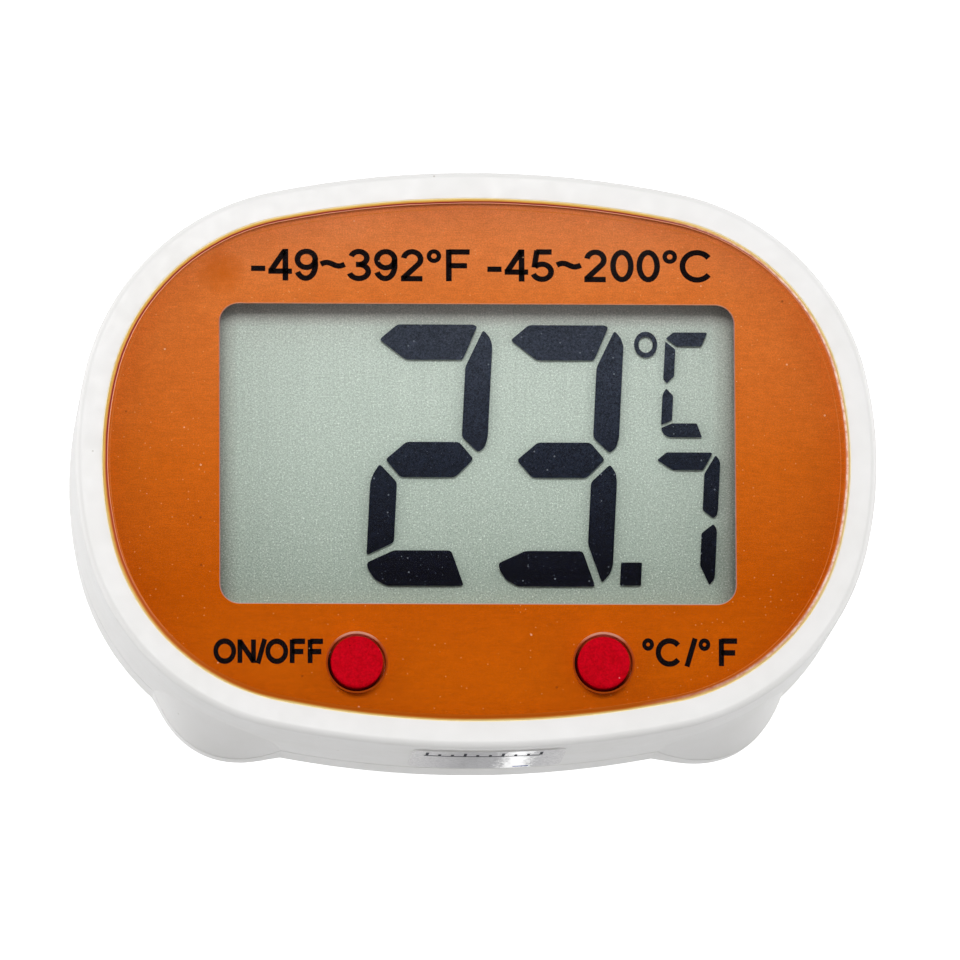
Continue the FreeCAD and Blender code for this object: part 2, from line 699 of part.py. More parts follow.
def battery_cover_oring():
    """Seal under the cover's flange, a ring of round section flattened between its two faces."""
    mid_z = (COVER_FLANGE_Z + FLANGE_POCKET_TOP_Z) / 2
    half = (FLANGE_POCKET_TOP_Z - COVER_FLANGE_Z) / 2
    mid_radius = (THROAT_RADIUS + FLANGE_POCKET_RADIUS) / 2
    ring = Part.makeTorus(mid_radius, half + ORING_SQUASH, V(BAY_X, 0, mid_z), UP)
    low = COVER_FLANGE_Z + SEAL_GAP
    high = FLANGE_POCKET_TOP_Z - SEAL_GAP
    return ring.common(cylinder(BAY_X, 0, FLANGE_POCKET_RADIUS, low, high))


def bent_strip(points, width):
    """Flat metal strip: a closed outline in X and Z, given across its thickness, made width deep."""
    wire = Part.makePolygon([V(x, -width / 2, z) for x, z in points + points[:1]])
    return Part.Face(wire).extrude(V(0, width, 0))


def negative_contact():
    """Leaf spring from the board down to the middle of the cell."""
    t = CONTACT_THICK
    top = CELL_Z + CELL_HEIGHT
    line = [(LEAF_START_X, PCB_Z - t), (LEAF_BEND_X, PCB_Z - t), (LEAF_LOW_X, top), (LEAF_END_X, top)]
    above = [(x, z + t) for x, z in reversed(line)]
    return bent_strip(line + above, CONTACT_WIDTH)


def positive_contact():
    """Strip down the side of the cell, with its foot on the board."""
    t = CONTACT_THICK
    x = BAY_X + CELL_RADIUS + CONTACT_GAP
    foot = x + CONTACT_FOOT
    outline = [(x, CONTACT_LOW_Z), (x + t, CONTACT_LOW_Z), (x + t, PCB_Z - t), (foot, PCB_Z - t)]
    outline += [(foot, PCB_Z), (x, PCB_Z)]
    return bent_strip(outline, CONTACT_WIDTH)


# ---------------------------------------------------------------- stem
def stem_tube():
    """Steel tube, thinner at the measuring end and turned down at the root that sits in the boss."""
    end_z = -STEM_LENGTH + TIP_PLUG_LENGTH
    neck_z = -STEM_LENGTH + TIP_LENGTH
    shoulder_z = neck_z + TIP_TAPER
    profile = [
        (TIP_BORE, end_z),
        (TIP_RADIUS, end_z),
        (TIP_RADIUS, neck_z),
        (STEM_RADIUS, shoulder_z),
        (STEM_RADIUS, 0),
        (STEM_ROOT_RADIUS, 0),
        (STEM_ROOT_RADIUS, STEM_TOP_Z),
        (STEM_BORE, STEM_TOP_Z),
        (STEM_BORE, shoulder_z),
        (TIP_BORE, neck_z),
    ]
    return turned(profile)


def stem_tip():
    """Pointed plug that closes the end of the tube."""
    end_z = -STEM_LENGTH + TIP_PLUG_LENGTH
    spigot = TIP_BORE - SEAL_GAP
    profile = [
        (0, -STEM_LENGTH),
        (TIP_POINT_RADIUS, -STEM_LENGTH),
        (TIP_RADIUS, end_z - TIP_LAND),
        (TIP_RADIUS, end_z),
        (spigot, end_z),
        (spigot, end_z + TIP_SPIGOT),
        (0, end_z + TIP_SPIGOT),
    ]
    return turned(profile)


def stem_ferrule():
    """Collar crimped on the tube where it stands on the boss inside the head."""
    inner = STEM_ROOT_RADIUS + SEAL_GAP
    top = SEAM_Z + FERRULE_LENGTH
    rim = SEAM_Z + FERRULE_LENGTH / 3
    profile = [(inner, SEAM_Z), (FERRULE_RADIUS, SEAM_Z), (FERRULE_RADIUS, rim)]
    profile += [(FERRULE_NECK_RADIUS, top), (inner, top)]
    return turned(profile)


def stem_oring():
    """Seal between the tube and the boss."""
    radius = STEM_ROOT_RADIUS + ORING_SECTION + SEAL_GAP
    return Part.makeTorus(radius, ORING_SECTION, V(0, 0, ORING_MID_Z), UP)


def bead_z():
    """Level of the thermistor's middle, just above the tip plug."""
    return -STEM_LENGTH + TIP_PLUG_LENGTH + BEAD_RISE


def thermistor_bead():
    """Glass bead, a small capsule."""
    straight = BEAD_LENGTH / 2 - BEAD_RADIUS
    z = bead_z()
    bead = cylinder(0, 0, BEAD_RADIUS, z - straight, z + straight)
    for end in (-straight, straight):
        bead = bead.fuse(Part.makeSphere(BEAD_RADIUS, V(0, 0, z + end)))
    return bead.removeSplitter()


def thermistor_leads():
    """Two insulated leads from the bead up to the board."""
    bottom = bead_z() + BEAD_LENGTH / 2
    leads = [cylinder(x, 0, LEAD_RADIUS, bottom, PCB_Z) for x in (-LEAD_X, LEAD_X)]
    return Part.makeCompound(leads)


def tip_filler():
    """Heat-conducting paste round the bead inside the thin end of the tube."""
    low = -STEM_LENGTH + TIP_PLUG_LENGTH + TIP_SPIGOT
    high = low + FILLER_LENGTH
    paste = cylinder(0, 0, TIP_BORE - SEAL_GAP, low, high)
    paste = paste.cut(thermistor_bead())
    for x in (-LEAD_X, LEAD_X):
        paste = paste.cut(cylinder(x, 0, LEAD_RADIUS + SEAL_GAP, bead_z(), high))
    return paste


def build():
    """Every node, by name."""
    return {
        "front_casing": front_casing(),
        "rear_cover": rear_cover(),
        "clear_lens": clear_lens(),
        "orange_print": orange_print(),
        "foil_label": foil_label(),
        "front_polariser": film(POLARISER_Z, FOAM_Z),
        "lcd_front_glass": glass(FRONT_GLASS_TOP_Y, FRONT_GLASS_Z, POLARISER_Z),
        "lcd_rear_glass": glass(REAR_GLASS_TOP_Y, REAR_GLASS_Z, FRONT_GLASS_Z),
        "rear_reflector": film(BACKING_TOP_Z, REFLECTOR_TOP_Z),
        "lcd_foam_frame": lcd_foam_frame(),
        "lcd_backing_frame": lcd_backing_frame(),
        "zebra_strip": zebra_strip(),
        "on_off_key": push_key(LEFT_KEY_X),
        "unit_key": push_key(RIGHT_KEY_X),
        "on_off_dome": return_dome(LEFT_KEY_X),
        "unit_dome": return_dome(RIGHT_KEY_X),
        "main_pcb": main_pcb(),
        "cob_chip": cob_chip(),
        "chip_resistors": chip_resistors(),
        "chip_capacitors": chip_capacitors(),
        "pcb_screws": pcb_screws(),
        "case_screws": case_screws(),
        "button_cell": button_cell(),
        "battery_cover": battery_cover(),
        "battery_cover_oring": battery_cover_oring(),
        "negative_contact": negative_contact(),
        "positive_contact": positive_contact(),
        "stem_tube": stem_tube(),
        "stem_tip": stem_tip(),
        "stem_ferrule": stem_ferrule(),
        "stem_oring": stem_oring(),
        "thermistor_bead": thermistor_bead(),
        "thermistor_leads": thermistor_leads(),
        "tip_filler": tip_filler(),
    }


os.makedirs("parts", exist_ok=True)
for name, shape in build().items():
    print(name, "solids", len(shape.Solids), "volume", round(shape.Volume, 2), shape.isValid())
    shape.exportStep("parts/" + name + ".step")
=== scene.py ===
import math

import bmesh
import bpy
from mathutils import Matrix, Vector


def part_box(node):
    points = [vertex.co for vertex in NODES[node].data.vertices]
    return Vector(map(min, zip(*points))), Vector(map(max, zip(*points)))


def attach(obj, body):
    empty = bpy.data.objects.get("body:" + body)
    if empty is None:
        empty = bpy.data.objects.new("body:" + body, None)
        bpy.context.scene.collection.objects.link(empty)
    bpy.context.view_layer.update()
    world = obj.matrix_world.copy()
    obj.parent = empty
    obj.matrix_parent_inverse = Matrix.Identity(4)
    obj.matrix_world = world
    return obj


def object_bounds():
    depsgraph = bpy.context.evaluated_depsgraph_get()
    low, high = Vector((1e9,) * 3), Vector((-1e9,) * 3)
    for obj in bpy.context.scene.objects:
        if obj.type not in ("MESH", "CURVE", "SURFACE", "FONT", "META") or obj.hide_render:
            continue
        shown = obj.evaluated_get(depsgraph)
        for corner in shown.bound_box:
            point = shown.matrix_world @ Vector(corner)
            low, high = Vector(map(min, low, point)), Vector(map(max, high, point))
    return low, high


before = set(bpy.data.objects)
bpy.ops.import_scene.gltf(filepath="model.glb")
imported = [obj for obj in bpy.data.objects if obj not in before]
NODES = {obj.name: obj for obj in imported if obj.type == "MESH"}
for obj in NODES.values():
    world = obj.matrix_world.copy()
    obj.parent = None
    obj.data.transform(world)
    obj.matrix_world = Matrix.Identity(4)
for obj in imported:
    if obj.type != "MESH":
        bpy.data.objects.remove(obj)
CAD_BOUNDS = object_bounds()
MM = 0.001

# The looks of a digital probe thermometer: a material for each CAD node, the marks on its print,
# display and label, and a plain studio. The constants come first.

# ---- The head's outline at the lens edge: three tangent radii per quarter, in mm.
LENS_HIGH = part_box("clear_lens")[1]
PRINT_LOW, PRINT_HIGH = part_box("orange_print")
LENS_GAP = 0.06
HALF_WIDTH = LENS_HIGH.x / MM + LENS_GAP
HALF_HEIGHT = LENS_HIGH.y / MM + LENS_GAP
TOP_RADIUS = 74.2
CORNER_RADIUS = 16.1
SIDE_RADIUS = 27.1
RING_WIDTH = 2.0

# ---- The display window and the levels of the display's layers, in mm.
WINDOW_X = 0.14
WINDOW_Y = 0.6
WINDOW_WIDTH = 38.74
WINDOW_HEIGHT = 22.8
WINDOW_ROUND = 1.5
# The lens bends the key light inwards, so it reaches this much further under the window's top edge.
BENT_LIGHT = 0.4
PRINT_TOP_Z = PRINT_HIGH.z / MM
PRINT_LOW_Z = PRINT_LOW.z / MM
LENS_FRONT_Z = LENS_HIGH.z / MM
LENS_BEVEL = 0.4
LENS_BEVEL_Z = LENS_FRONT_Z - LENS_BEVEL
RING_FRONT_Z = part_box("front_casing")[1].z / MM
REFLECTOR_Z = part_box("rear_reflector")[1].z / MM
WINDOW_LOW_Y = WINDOW_Y - WINDOW_HEIGHT / 2
WINDOW_HIGH_Y = WINDOW_Y + WINDOW_HEIGHT / 2


def middle(name):
    """Centre of a CAD node's box in mm."""
    low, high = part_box(name)
    return (low + high) / 2 / MM


LEFT_KEY = middle("on_off_key")
RIGHT_KEY = middle("unit_key")
KEY_HOLE_RADIUS = 2.175
KEY_HOLE_REACH = 3.0
KEY_RADIUS = 1.95
LABEL_LOW, LABEL_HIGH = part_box("foil_label")

# ---- The reading: each character's name, segments, left, bottom, and its width, height, level bar
# ---- and upright post, in mm.
SEGMENT_LOW_Z = REFLECTOR_Z + 0.3
SEGMENT_THICK = 0.02
SEGMENT_ROUND = 0.012
SLANT = math.tan(math.radians(3.1))
LARGE_CHARACTER = (8.67, 19.85, 2.69, 1.955)
CHARACTERS = [
    ("reading_tens", "abged", -8.22, -9.04, LARGE_CHARACTER),
    ("reading_ones", "abgcd", 1.66, -9.06, LARGE_CHARACTER),
    ("reading_tenths", "abc", 13.2, -9.04, (4.84, 10.19, 1.345, 1.16)),
    ("reading_unit", "afed", 14.06, 2.3, (3.63, 7.98, 1.06, 0.79)),
]
POINT_CORNER = (10.93, -8.97)
POINT_SIZE = (1.58, 1.75)
POINT_ROUND = 0.1
DEGREE_CENTRE = (12.99, 9.34)
DEGREE_OUTER = (0.875, 0.99)
DEGREE_INNER = (0.53, 0.62)

# ---- The print's lettering, and lines and rings of painted light and shade round the window,
# ---- the lens's edge and the keys. Offsets are outwards from the head's outline, in mm.
INK_SUNK = 0.004
INK_THICK = 0.009
LINE_RECESS = 0.01
RIM_LINE_WIDTH = 0.07
EDGE_LINE_OFFSETS = (-0.6, -0.66)
GLUE_OFFSETS = (0.018, -0.05)
GLUE_SUNK = 0.06
KEY_GAP_OUTSIDE = 0.01
KEY_GAP_INSIDE = 0.02
# Each legend's name, signs, stroke as a share of its height, left, right, bottom and top. A number
# among the signs is a gap.
LEGENDS = [
    ("legend_fahrenheit", [*"-49~392", "degree", "F"], 0.17, -17.02, -0.17, 13.66, 16.07),
    ("legend_celsius", [*"-45~200", "degree", 0.04, "C"], 0.17, 0.72, 17.8, 13.66, 16.1),
    ("legend_on_off", [*"ON/OFF"], 0.235, -19.7, -11.32, -15.28, -13.5),
    ("legend_units", ["degree", 0.06, "C", 0.16, "/", 0.08, "degree", 0.22, "F"],
     0.205, 12.34, 19.7, -15.42, -13.37),
]
DEGREE_STROKE = 0.8

# ---- The deeper orange patch at the print's top left: its place in mm and how fast it fades each way.
DEEP_PATCH_CENTRE = (-19.1, 14.3)
DEEP_PATCH_FADE = (0.5, 0.55)

# ---- The marks on the foil label, in mm from its left and top edges.
LABEL_CLEARANCE = 0.12
MARK_SUNK = 0.02
MARK_PROUD = 0.015
BASE_LINE = (0.9, 9.6, -2.6, -2.3)
FIRST_TICK = 1.0
TICK_COUNT = 10
TICK_PITCH = 0.95
TICK_WIDTH = 0.22
TICK_GAP = 0.02
TALL_TICK = 1.5
SHORT_TICK = 0.8
BLUE_LINE = (7.9, 9.1, 0.5, 0.9)

# ---- Floor, lights and camera, in mm unless the name says otherwise.
FLOOR_RADIUS_M = 6.0
FLOOR_GAP = 0.2
GLOW_UNSEEN, GLOW_SEEN, GLOW_MIRRORED = 0.06, 0.6, 0.03
KEY_LIGHT_WAY = (-0.06, 0.29, 1.0)
KEY_LIGHT_DISTANCE_M = 0.9
KEY_LIGHT_SIZE_M = (0.34, 0.15)
KEY_LIGHT_WATTS = 4.2
SIDE_FILL = 3.2
LENGTHWAYS_FILL = (-1.0, 0.6, 0.02, 0.24)
CAMERA_DISTANCE_M = 1.0
CAMERA_LEFT_DEG = 3.4
CAMERA_BELOW_DEG = 8.6
CAMERA_ROLL_DEG = -0.3
CAMERA_AIM_RIGHT = 0.21
CAMERA_AIM_DOWN = 1.62
CAMERA_FOCAL_MM = 501.7
CAMERA_SENSOR_MM = 36.0

CLEAR = (1, 1, 1, 1)

# ---- What plain glass mirrors when it is seen face on, and what it gains at a glancing angle.
GLASS_SHARE = 0.04
GLANCING_GAIN = 0.9


def srgb(red, green, blue):
    """A colour given in 0 to 255 display values, as linear RGBA."""
    linear = []
    for value in (red, green, blue):
        c = value / 255
        linear.append(c / 12.92 if c <= 0.04045 else ((c + 0.055) / 1.055) ** 2.4)
    return (*linear, 1.0)


# ------------------------------------------------------------------ node trees
class Graph:
    """Shorthand for the node tree of a new material or world.

    Sizes are in mm, in the object's own coordinates.
    """

    def __init__(self, name, world=False):
        self.owner = (bpy.data.worlds if world else bpy.data.materials).new(name)
        self.owner.use_nodes = True
        self.tree = self.owner.node_tree
        self.tree.nodes.clear()
        kind = "ShaderNodeOutputWorld" if world else "ShaderNodeOutputMaterial"
        self.output = self.tree.nodes.new(kind)
        self.coords = self.tree.nodes.new("ShaderNodeTexCoord")

    def put(self, socket, value):
        """Sets a socket to a value, or links another socket to it."""
        if isinstance(value, bpy.types.NodeSocket):
            self.tree.links.new(value, socket)
        else:
            socket.default_value = value

    def node(self, kind, inputs=None, **settings):
        """A new node with its settings and inputs."""
        made = self.tree.nodes.new("ShaderNode" + kind)
        for key, value in settings.items():
            setattr(made, key, value)
        for key, value in (inputs or {}).items():
            self.put(made.inputs[key], value)
        return made

    def math(self, operation, a, b=0.0, clamp=False):
        """One Math node on two values."""
        made = self.node("Math", operation=operation, use_clamp=clamp)
        self.put(made.inputs[0], a)
        self.put(made.inputs[1], b)
        return made.outputs[0]

    def position(self, size=1.0, stretch=(1, 1, 1)):
        """Object coordinates, scaled so that one unit is `size` mm."""
        scale = [1 / (size * MM * s) for s in stretch]
        mapping = self.node("Mapping", {"Vector": self.coords.outputs["Object"], "Scale": scale})
        return mapping.outputs[0]

    def axis(self, index):
        """One object coordinate in mm."""
        parts = self.node("SeparateXYZ", {"Vector": self.position()})
        return parts.outputs[index]

    def facing(self, index):
        """One coordinate of the face's normal."""
        parts = self.node("SeparateXYZ", {"Vector": self.coords.outputs["Normal"]})
        return parts.outputs[index]

    def upright(self):
        """How far a face looks along Z, from 0 on a side wall to 1 on a flat face."""
        return self.math("ABSOLUTE", self.facing(2))

    def sheer(self, limit):
        """1 on faces that look along Z by more than the limit."""
        return self.math("GREATER_THAN", self.upright(), limit)

    def away(self, value, place):
        """Distance of a value from a place."""
        return self.math("ABSOLUTE", self.math("SUBTRACT", value, place))

    def noise(self, size, detail=2.0, roughness=0.5, stretch=(1, 1, 1)):
        """Soft noise with features of this size."""
        inputs = {"Vector": self.position(size, stretch), "Scale": 1.0}
        inputs.update({"Detail": detail, "Roughness": roughness})
        return self.node("TexNoise", inputs).outputs[0]

    def specks(self, size, radius, share):
        """Small round specks: 1 inside a speck, on this share of the cells."""
        cells = self.node("TexVoronoi", {"Vector": self.position(size), "Scale": 1.0})
        near = self.math("LESS_THAN", cells.outputs["Distance"], radius)
        parts = self.node("SeparateColor", {"Color": cells.outputs["Color"]})
        chosen = self.math("LESS_THAN", parts.outputs[0], share)
        return self.math("MULTIPLY", near, chosen)

    def remap(self, value, low, high, to_low=0.0, to_high=1.0):
        """A value carried from one range to another, and held at its ends."""
        inputs = {"Value": value, "From Min": low, "From Max": high}
        inputs.update({"To Min": to_low, "To Max": to_high})
        return self.node("MapRange", inputs).outputs[0]

    def vary(self, low, high, *noise):
        """A value that wanders between two limits over the surface."""
        return self.remap(self.noise(*noise), 0.3, 0.7, low, high)

    def ramp(self, value, stops):
        """Colour by value, from a list of (place, colour)."""
        made = self.node("ValToRGB", {"Fac": value})
        band = made.color_ramp
        while len(band.elements) < len(stops):
            band.elements.new(0.5)
        for element, (place, colour) in zip(band.elements, stops):
            element.position = place
            element.color = colour
        return made.outputs[0]

    def mottle(self, dark, light, *noise):
        """Two colours blended by a soft noise."""
        return self.ramp(self.noise(*noise), [(0.3, dark), (0.7, light)])

    def mix(self, factor, a, b, blend="MIX"):
        """Colour a with this much of colour b."""
        made = self.node("Mix", data_type="RGBA", blend_type=blend)
        self.put(made.inputs[0], factor)
        self.put(made.inputs[6], a)
        self.put(made.inputs[7], b)
        return made.outputs[2]

    def shade(self, colour, low, high, size, detail=3.0, stretch=(1, 1, 1)):
        """Colour made darker and lighter by a grain, between two factors."""
        grain = self.remap(self.noise(size, detail, 0.75, stretch), 0.36, 0.64, low, high)
        return self.mix(1.0, colour, grain, "MULTIPLY")

    def dust(self, colour, size, radius, share, strength, speck):
        """Colour with sparse round specks of another one."""
        amount = self.math("MULTIPLY", self.specks(size, radius, share), strength)
        return self.mix(amount, colour, speck)

    def bump(self, height, depth, strength=1.0):
        """Surface relief, with the height's full range `depth` mm deep."""
        inputs = {"Height": height, "Distance": depth * MM, "Strength": strength}
        return self.node("Bump", inputs).outputs[0]

    def principled(self, **inputs):
        """The main surface shader, with underscores for the spaces in its inputs' names."""
        named = {key.replace("_", " "): value for key, value in inputs.items()}
        return self.node("BsdfPrincipled", named).outputs[0]

    def clear(self, tint=CLEAR):
        """A shader that lets light straight through."""
        return self.node("BsdfTransparent", {"Color": tint}).outputs[0]

    def shader_mix(self, factor, a, b):
        """Shader a with this much of shader b."""
        made = self.node("MixShader")
        self.put(made.inputs[0], factor)
        self.put(made.inputs[1], a)
        self.put(made.inputs[2], b)
        return made.outputs[0]

    def finish(self, shader):
        """Links the finished shader and returns the material or world."""
        self.put(self.output.inputs["Surface"], shader)
        return self.owner


# ------------------------------------------------------------------ materials
def moulded(name, light, dark, roughness=0.4, relief=0.004, speck=None):
    """Moulded plastic: faint cloudiness, a fine spark-eroded grain and uneven gloss."""
    g = Graph(name)
    colour = g.mottle(dark, light, 4.0, 3.0)
    if speck is not None:
        colour = g.mix(g.specks(1.7, 0.05, 0.22), colour, speck)
    gloss = g.vary(roughness - 0.05, roughness + 0.06, 0.9, 3.0)
    normal = g.bump(g.noise(0.11, 2.0), relief)
    shader = g.principled(Base_Color=colour, Roughness=gloss, Normal=normal, IOR=1.5)
    return g.finish(shader)


def bent_light_strip(g):
    """1 on the strip of print above the window that the bent key light passes under."""
    above_window = g.math("SUBTRACT", g.axis(1), WINDOW_HIGH_Y)
    beside_window = g.math("SUBTRACT", g.away(g.axis(0), WINDOW_X), WINDOW_WIDTH / 2)
    strip = g.math("LESS_THAN", above_window, BENT_LIGHT)
    strip = g.math("MULTIPLY", strip, g.math("GREATER_THAN", above_window, -1.0))
    return g.math("MULTIPLY", strip, g.math("LESS_THAN", beside_window, 0.0))


def orange_ink():
    """Screen-printed ink seen through the lens: mottled and grainy, with painted light and specks.
    """
    g = Graph("orange_ink")
    # Painted reflection: the ink is lighter towards the top.
    height = g.remap(g.axis(1), -20.0, 20.0)
    stops = [
        (0.0, srgb(196, 91, 0)),
        (0.12, srgb(195, 89, 1)),
        (0.26, srgb(187, 83, 2)),
        (0.5, srgb(203, 99, 22)),
        (0.82, srgb(216, 117, 52)),
        (1.0, srgb(222, 130, 76)),
    ]
    colour = g.ramp(height, stops)
    colour = g.mix(g.vary(0.0, 0.2, 2.6, 4.0, 0.6), colour, srgb(186, 80, 4))
    colour = g.shade(colour, 0.84, 1.16, 0.1)
    colour = g.shade(colour, 0.96, 1.04, 0.5, 2.0)
    colour = g.shade(colour, 0.95, 1.05, 0.17, 2.0, (7, 1, 1))
    # Painted highlights: the two kinds of light specks. The dark specks after them are dust.
    colour = g.dust(colour, 0.4, 0.14, 0.2, 0.3, srgb(246, 186, 120))
    colour = g.dust(colour, 1.3, 0.06, 0.2, 0.5, srgb(250, 204, 160))
    colour = g.dust(colour, 1.9, 0.05, 0.22, 0.5, srgb(96, 44, 18))
    # A deeper orange patch at the top left.
    squares = []
    for index in (0, 1):
        shifted = g.math("ADD", g.axis(index), -DEEP_PATCH_CENTRE[index])
        squares.append(g.math("POWER", g.math("MULTIPLY", shifted, DEEP_PATCH_FADE[index]), 2.0))
    reach = g.math("ADD", *squares)
    deep_patch = g.remap(g.math("ADD", reach, g.noise(0.6)), 0.35, 1.5, 0.7, 0.0)
    colour = g.mix(deep_patch, colour, srgb(196, 92, 10))
    normal = g.bump(g.noise(0.09, 2.0), 0.003)
    ink = g.principled(Base_Color=colour, Roughness=0.6, Normal=normal, Specular_IOR_Level=0.01)
    from_lamp = g.node("LightPath").outputs["Is Shadow Ray"]
    passes = g.math("MULTIPLY", from_lamp, bent_light_strip(g))
    return g.finish(g.shader_mix(passes, ink, g.clear()))


def pane(g, share, roughness, tint, normal=None):
    """See-through sheet that mirrors a little, more at a glancing angle."""
    facing = g.node("LayerWeight", {"Blend": 0.5}).outputs["Facing"]
    edge = g.math("POWER", facing, 5.0)
    gain = g.math("MULTIPLY", edge, GLANCING_GAIN * share / GLASS_SHARE)
    factor = g.math("ADD", gain, share, clamp=True)
    through = g.clear(tint)
    gloss = {"Color": CLEAR, "Roughness": roughness}
    if normal is not None:
        gloss["Normal"] = normal
    mirror = g.node("BsdfGlossy", gloss).outputs[0]
    return g.shader_mix(factor, through, mirror)


def lens_rim_colour(g, across, along):
    """The bevelled rim: dark red where shaded, orange where lit, pale glints at the right."""
    wander = g.math("MULTIPLY", g.math("SUBTRACT", g.noise(3.0), 0.5), 0.2)
    height = g.math("ADD", g.remap(g.axis(2), LENS_BEVEL_Z, LENS_FRONT_Z), wander)
    shaded = g.ramp(height, [
        (0.0, srgb(244, 226, 150)),
        (0.18, srgb(222, 176, 84)),
        (0.46, srgb(198, 130, 50)),
        (0.6, srgb(128, 14, 20)),
        (0.8, srgb(136, 22, 24)),
        (0.93, srgb(236, 170, 136)),
        (1.0, srgb(206, 110, 50)),
    ])
    lit = g.ramp(height, [
        (0.0, srgb(246, 230, 170)),
        (0.16, srgb(236, 196, 116)),
        (0.32, srgb(206, 124, 44)),
        (0.55, srgb(184, 82, 8)),
        (0.75, srgb(190, 88, 8)),
        (1.0, srgb(192, 90, 10)),
    ])
    lean = g.math("ADD", g.math("MULTIPLY", across, -0.35), g.math("MULTIPLY", along, 0.94))
    colour = g.mix(g.remap(lean, -6.0, 12.0), lit, shaded)
    band = g.away(height, 0.45)
    glint = g.math("MULTIPLY", g.remap(band, 0.1, 0.35, 1.0, 0.0), g.remap(across, 12.0, 24.0))
    glint = g.math("MULTIPLY", glint, g.remap(g.noise(0.6, 3.0, 0.7), 0.4, 0.6, 0.3, 0.85))
    return g.mix(glint, colour, srgb(248, 222, 210))


def key_hole(g, across, along):
    """1 near the two key holes, and their walls' painted shade below and painted highlight above.
    """
    middle_x = (LEFT_KEY.x + RIGHT_KEY.x) / 2
    beside = g.math("SUBTRACT", g.away(across, middle_x), RIGHT_KEY.x - middle_x)
    above = g.math("SUBTRACT", along, RIGHT_KEY.y)
    square = g.math("ADD", g.math("POWER", g.math("ABSOLUTE", beside), 2.0),
                    g.math("POWER", g.math("ABSOLUTE", above), 2.0))
    near = g.math("LESS_THAN", square, KEY_HOLE_REACH**2)
    # Painted shade below the key holes and a painted highlight above them.
    colour = g.ramp(g.remap(above, -2.3, 2.3), [
        (0.0, srgb(160, 68, 16)),
        (0.5, srgb(176, 76, 20)),
        (0.82, srgb(200, 100, 50)),
        (0.95, srgb(238, 180, 150)),
    ])
    return near, colour


def clear_acrylic():
    """Polished acrylic: clear faces; edges painted with light and shade refracted from the print.
    """
    g = Graph("clear_acrylic")
    smear = g.remap(g.noise(6.0, 3.0), 0.35, 0.7, 0.015, 0.05)
    flat = pane(g, 0.003, smear, CLEAR)
    up, across, along = g.upright(), g.axis(0), g.axis(1)
    # Painted shade: the lens's side walls, dark red-brown.
    wall_painted_shade = g.mottle(srgb(110, 20, 14), srgb(160, 52, 28), 0.5)
    sloping = g.math("GREATER_THAN", up, 0.3)
    edge_colour = g.mix(sloping, wall_painted_shade, lens_rim_colour(g, across, along))
    # Painted light and shade on the key holes' walls.
    near_hole, hole_light_and_shade = key_hole(g, across, along)
    edge_colour = g.mix(near_hole, edge_colour, hole_light_and_shade)
    edge = g.principled(Base_Color=edge_colour, Roughness=0.3, IOR=1.49, Specular_IOR_Level=0.1)
    from_lamp = g.node("LightPath").outputs["Is Shadow Ray"]
    shader = g.shader_mix(from_lamp, edge, g.clear())
    shader = g.shader_mix(g.math("GREATER_THAN", up, 0.95), shader, flat)
    return g.finish(shader)


def display_glass():
    """Thin clear glass with green edges."""
    g = Graph("display_glass")
    inner = pane(g, 0.0006, g.vary(0.05, 0.1, 3.0), CLEAR)
    edge_colour = g.mottle(srgb(96, 128, 116), srgb(130, 160, 148), 0.6)
    edge = g.principled(Base_Color=edge_colour, Roughness=0.2, IOR=1.5)
    return g.finish(g.shader_mix(g.sheer(0.5), edge, inner))


def display_film():
    """Polarising film with a sparkling anti-glare face."""
    g = Graph("display_film")
    normal = g.bump(g.noise(0.12, 2.0, 0.7), 0.004, 0.6)
    sparkle = g.ramp(g.noise(0.15, 1.0), [(0.42, (0.97, 0.98, 0.97, 1)), (0.6, (1, 1, 1, 1))])
    inner = pane(g, 0.0004, 0.24, sparkle, normal)
    edge = g.principled(Base_Color=srgb(60, 66, 64), Roughness=0.4)
    return g.finish(g.shader_mix(g.sheer(0.5), edge, inner))


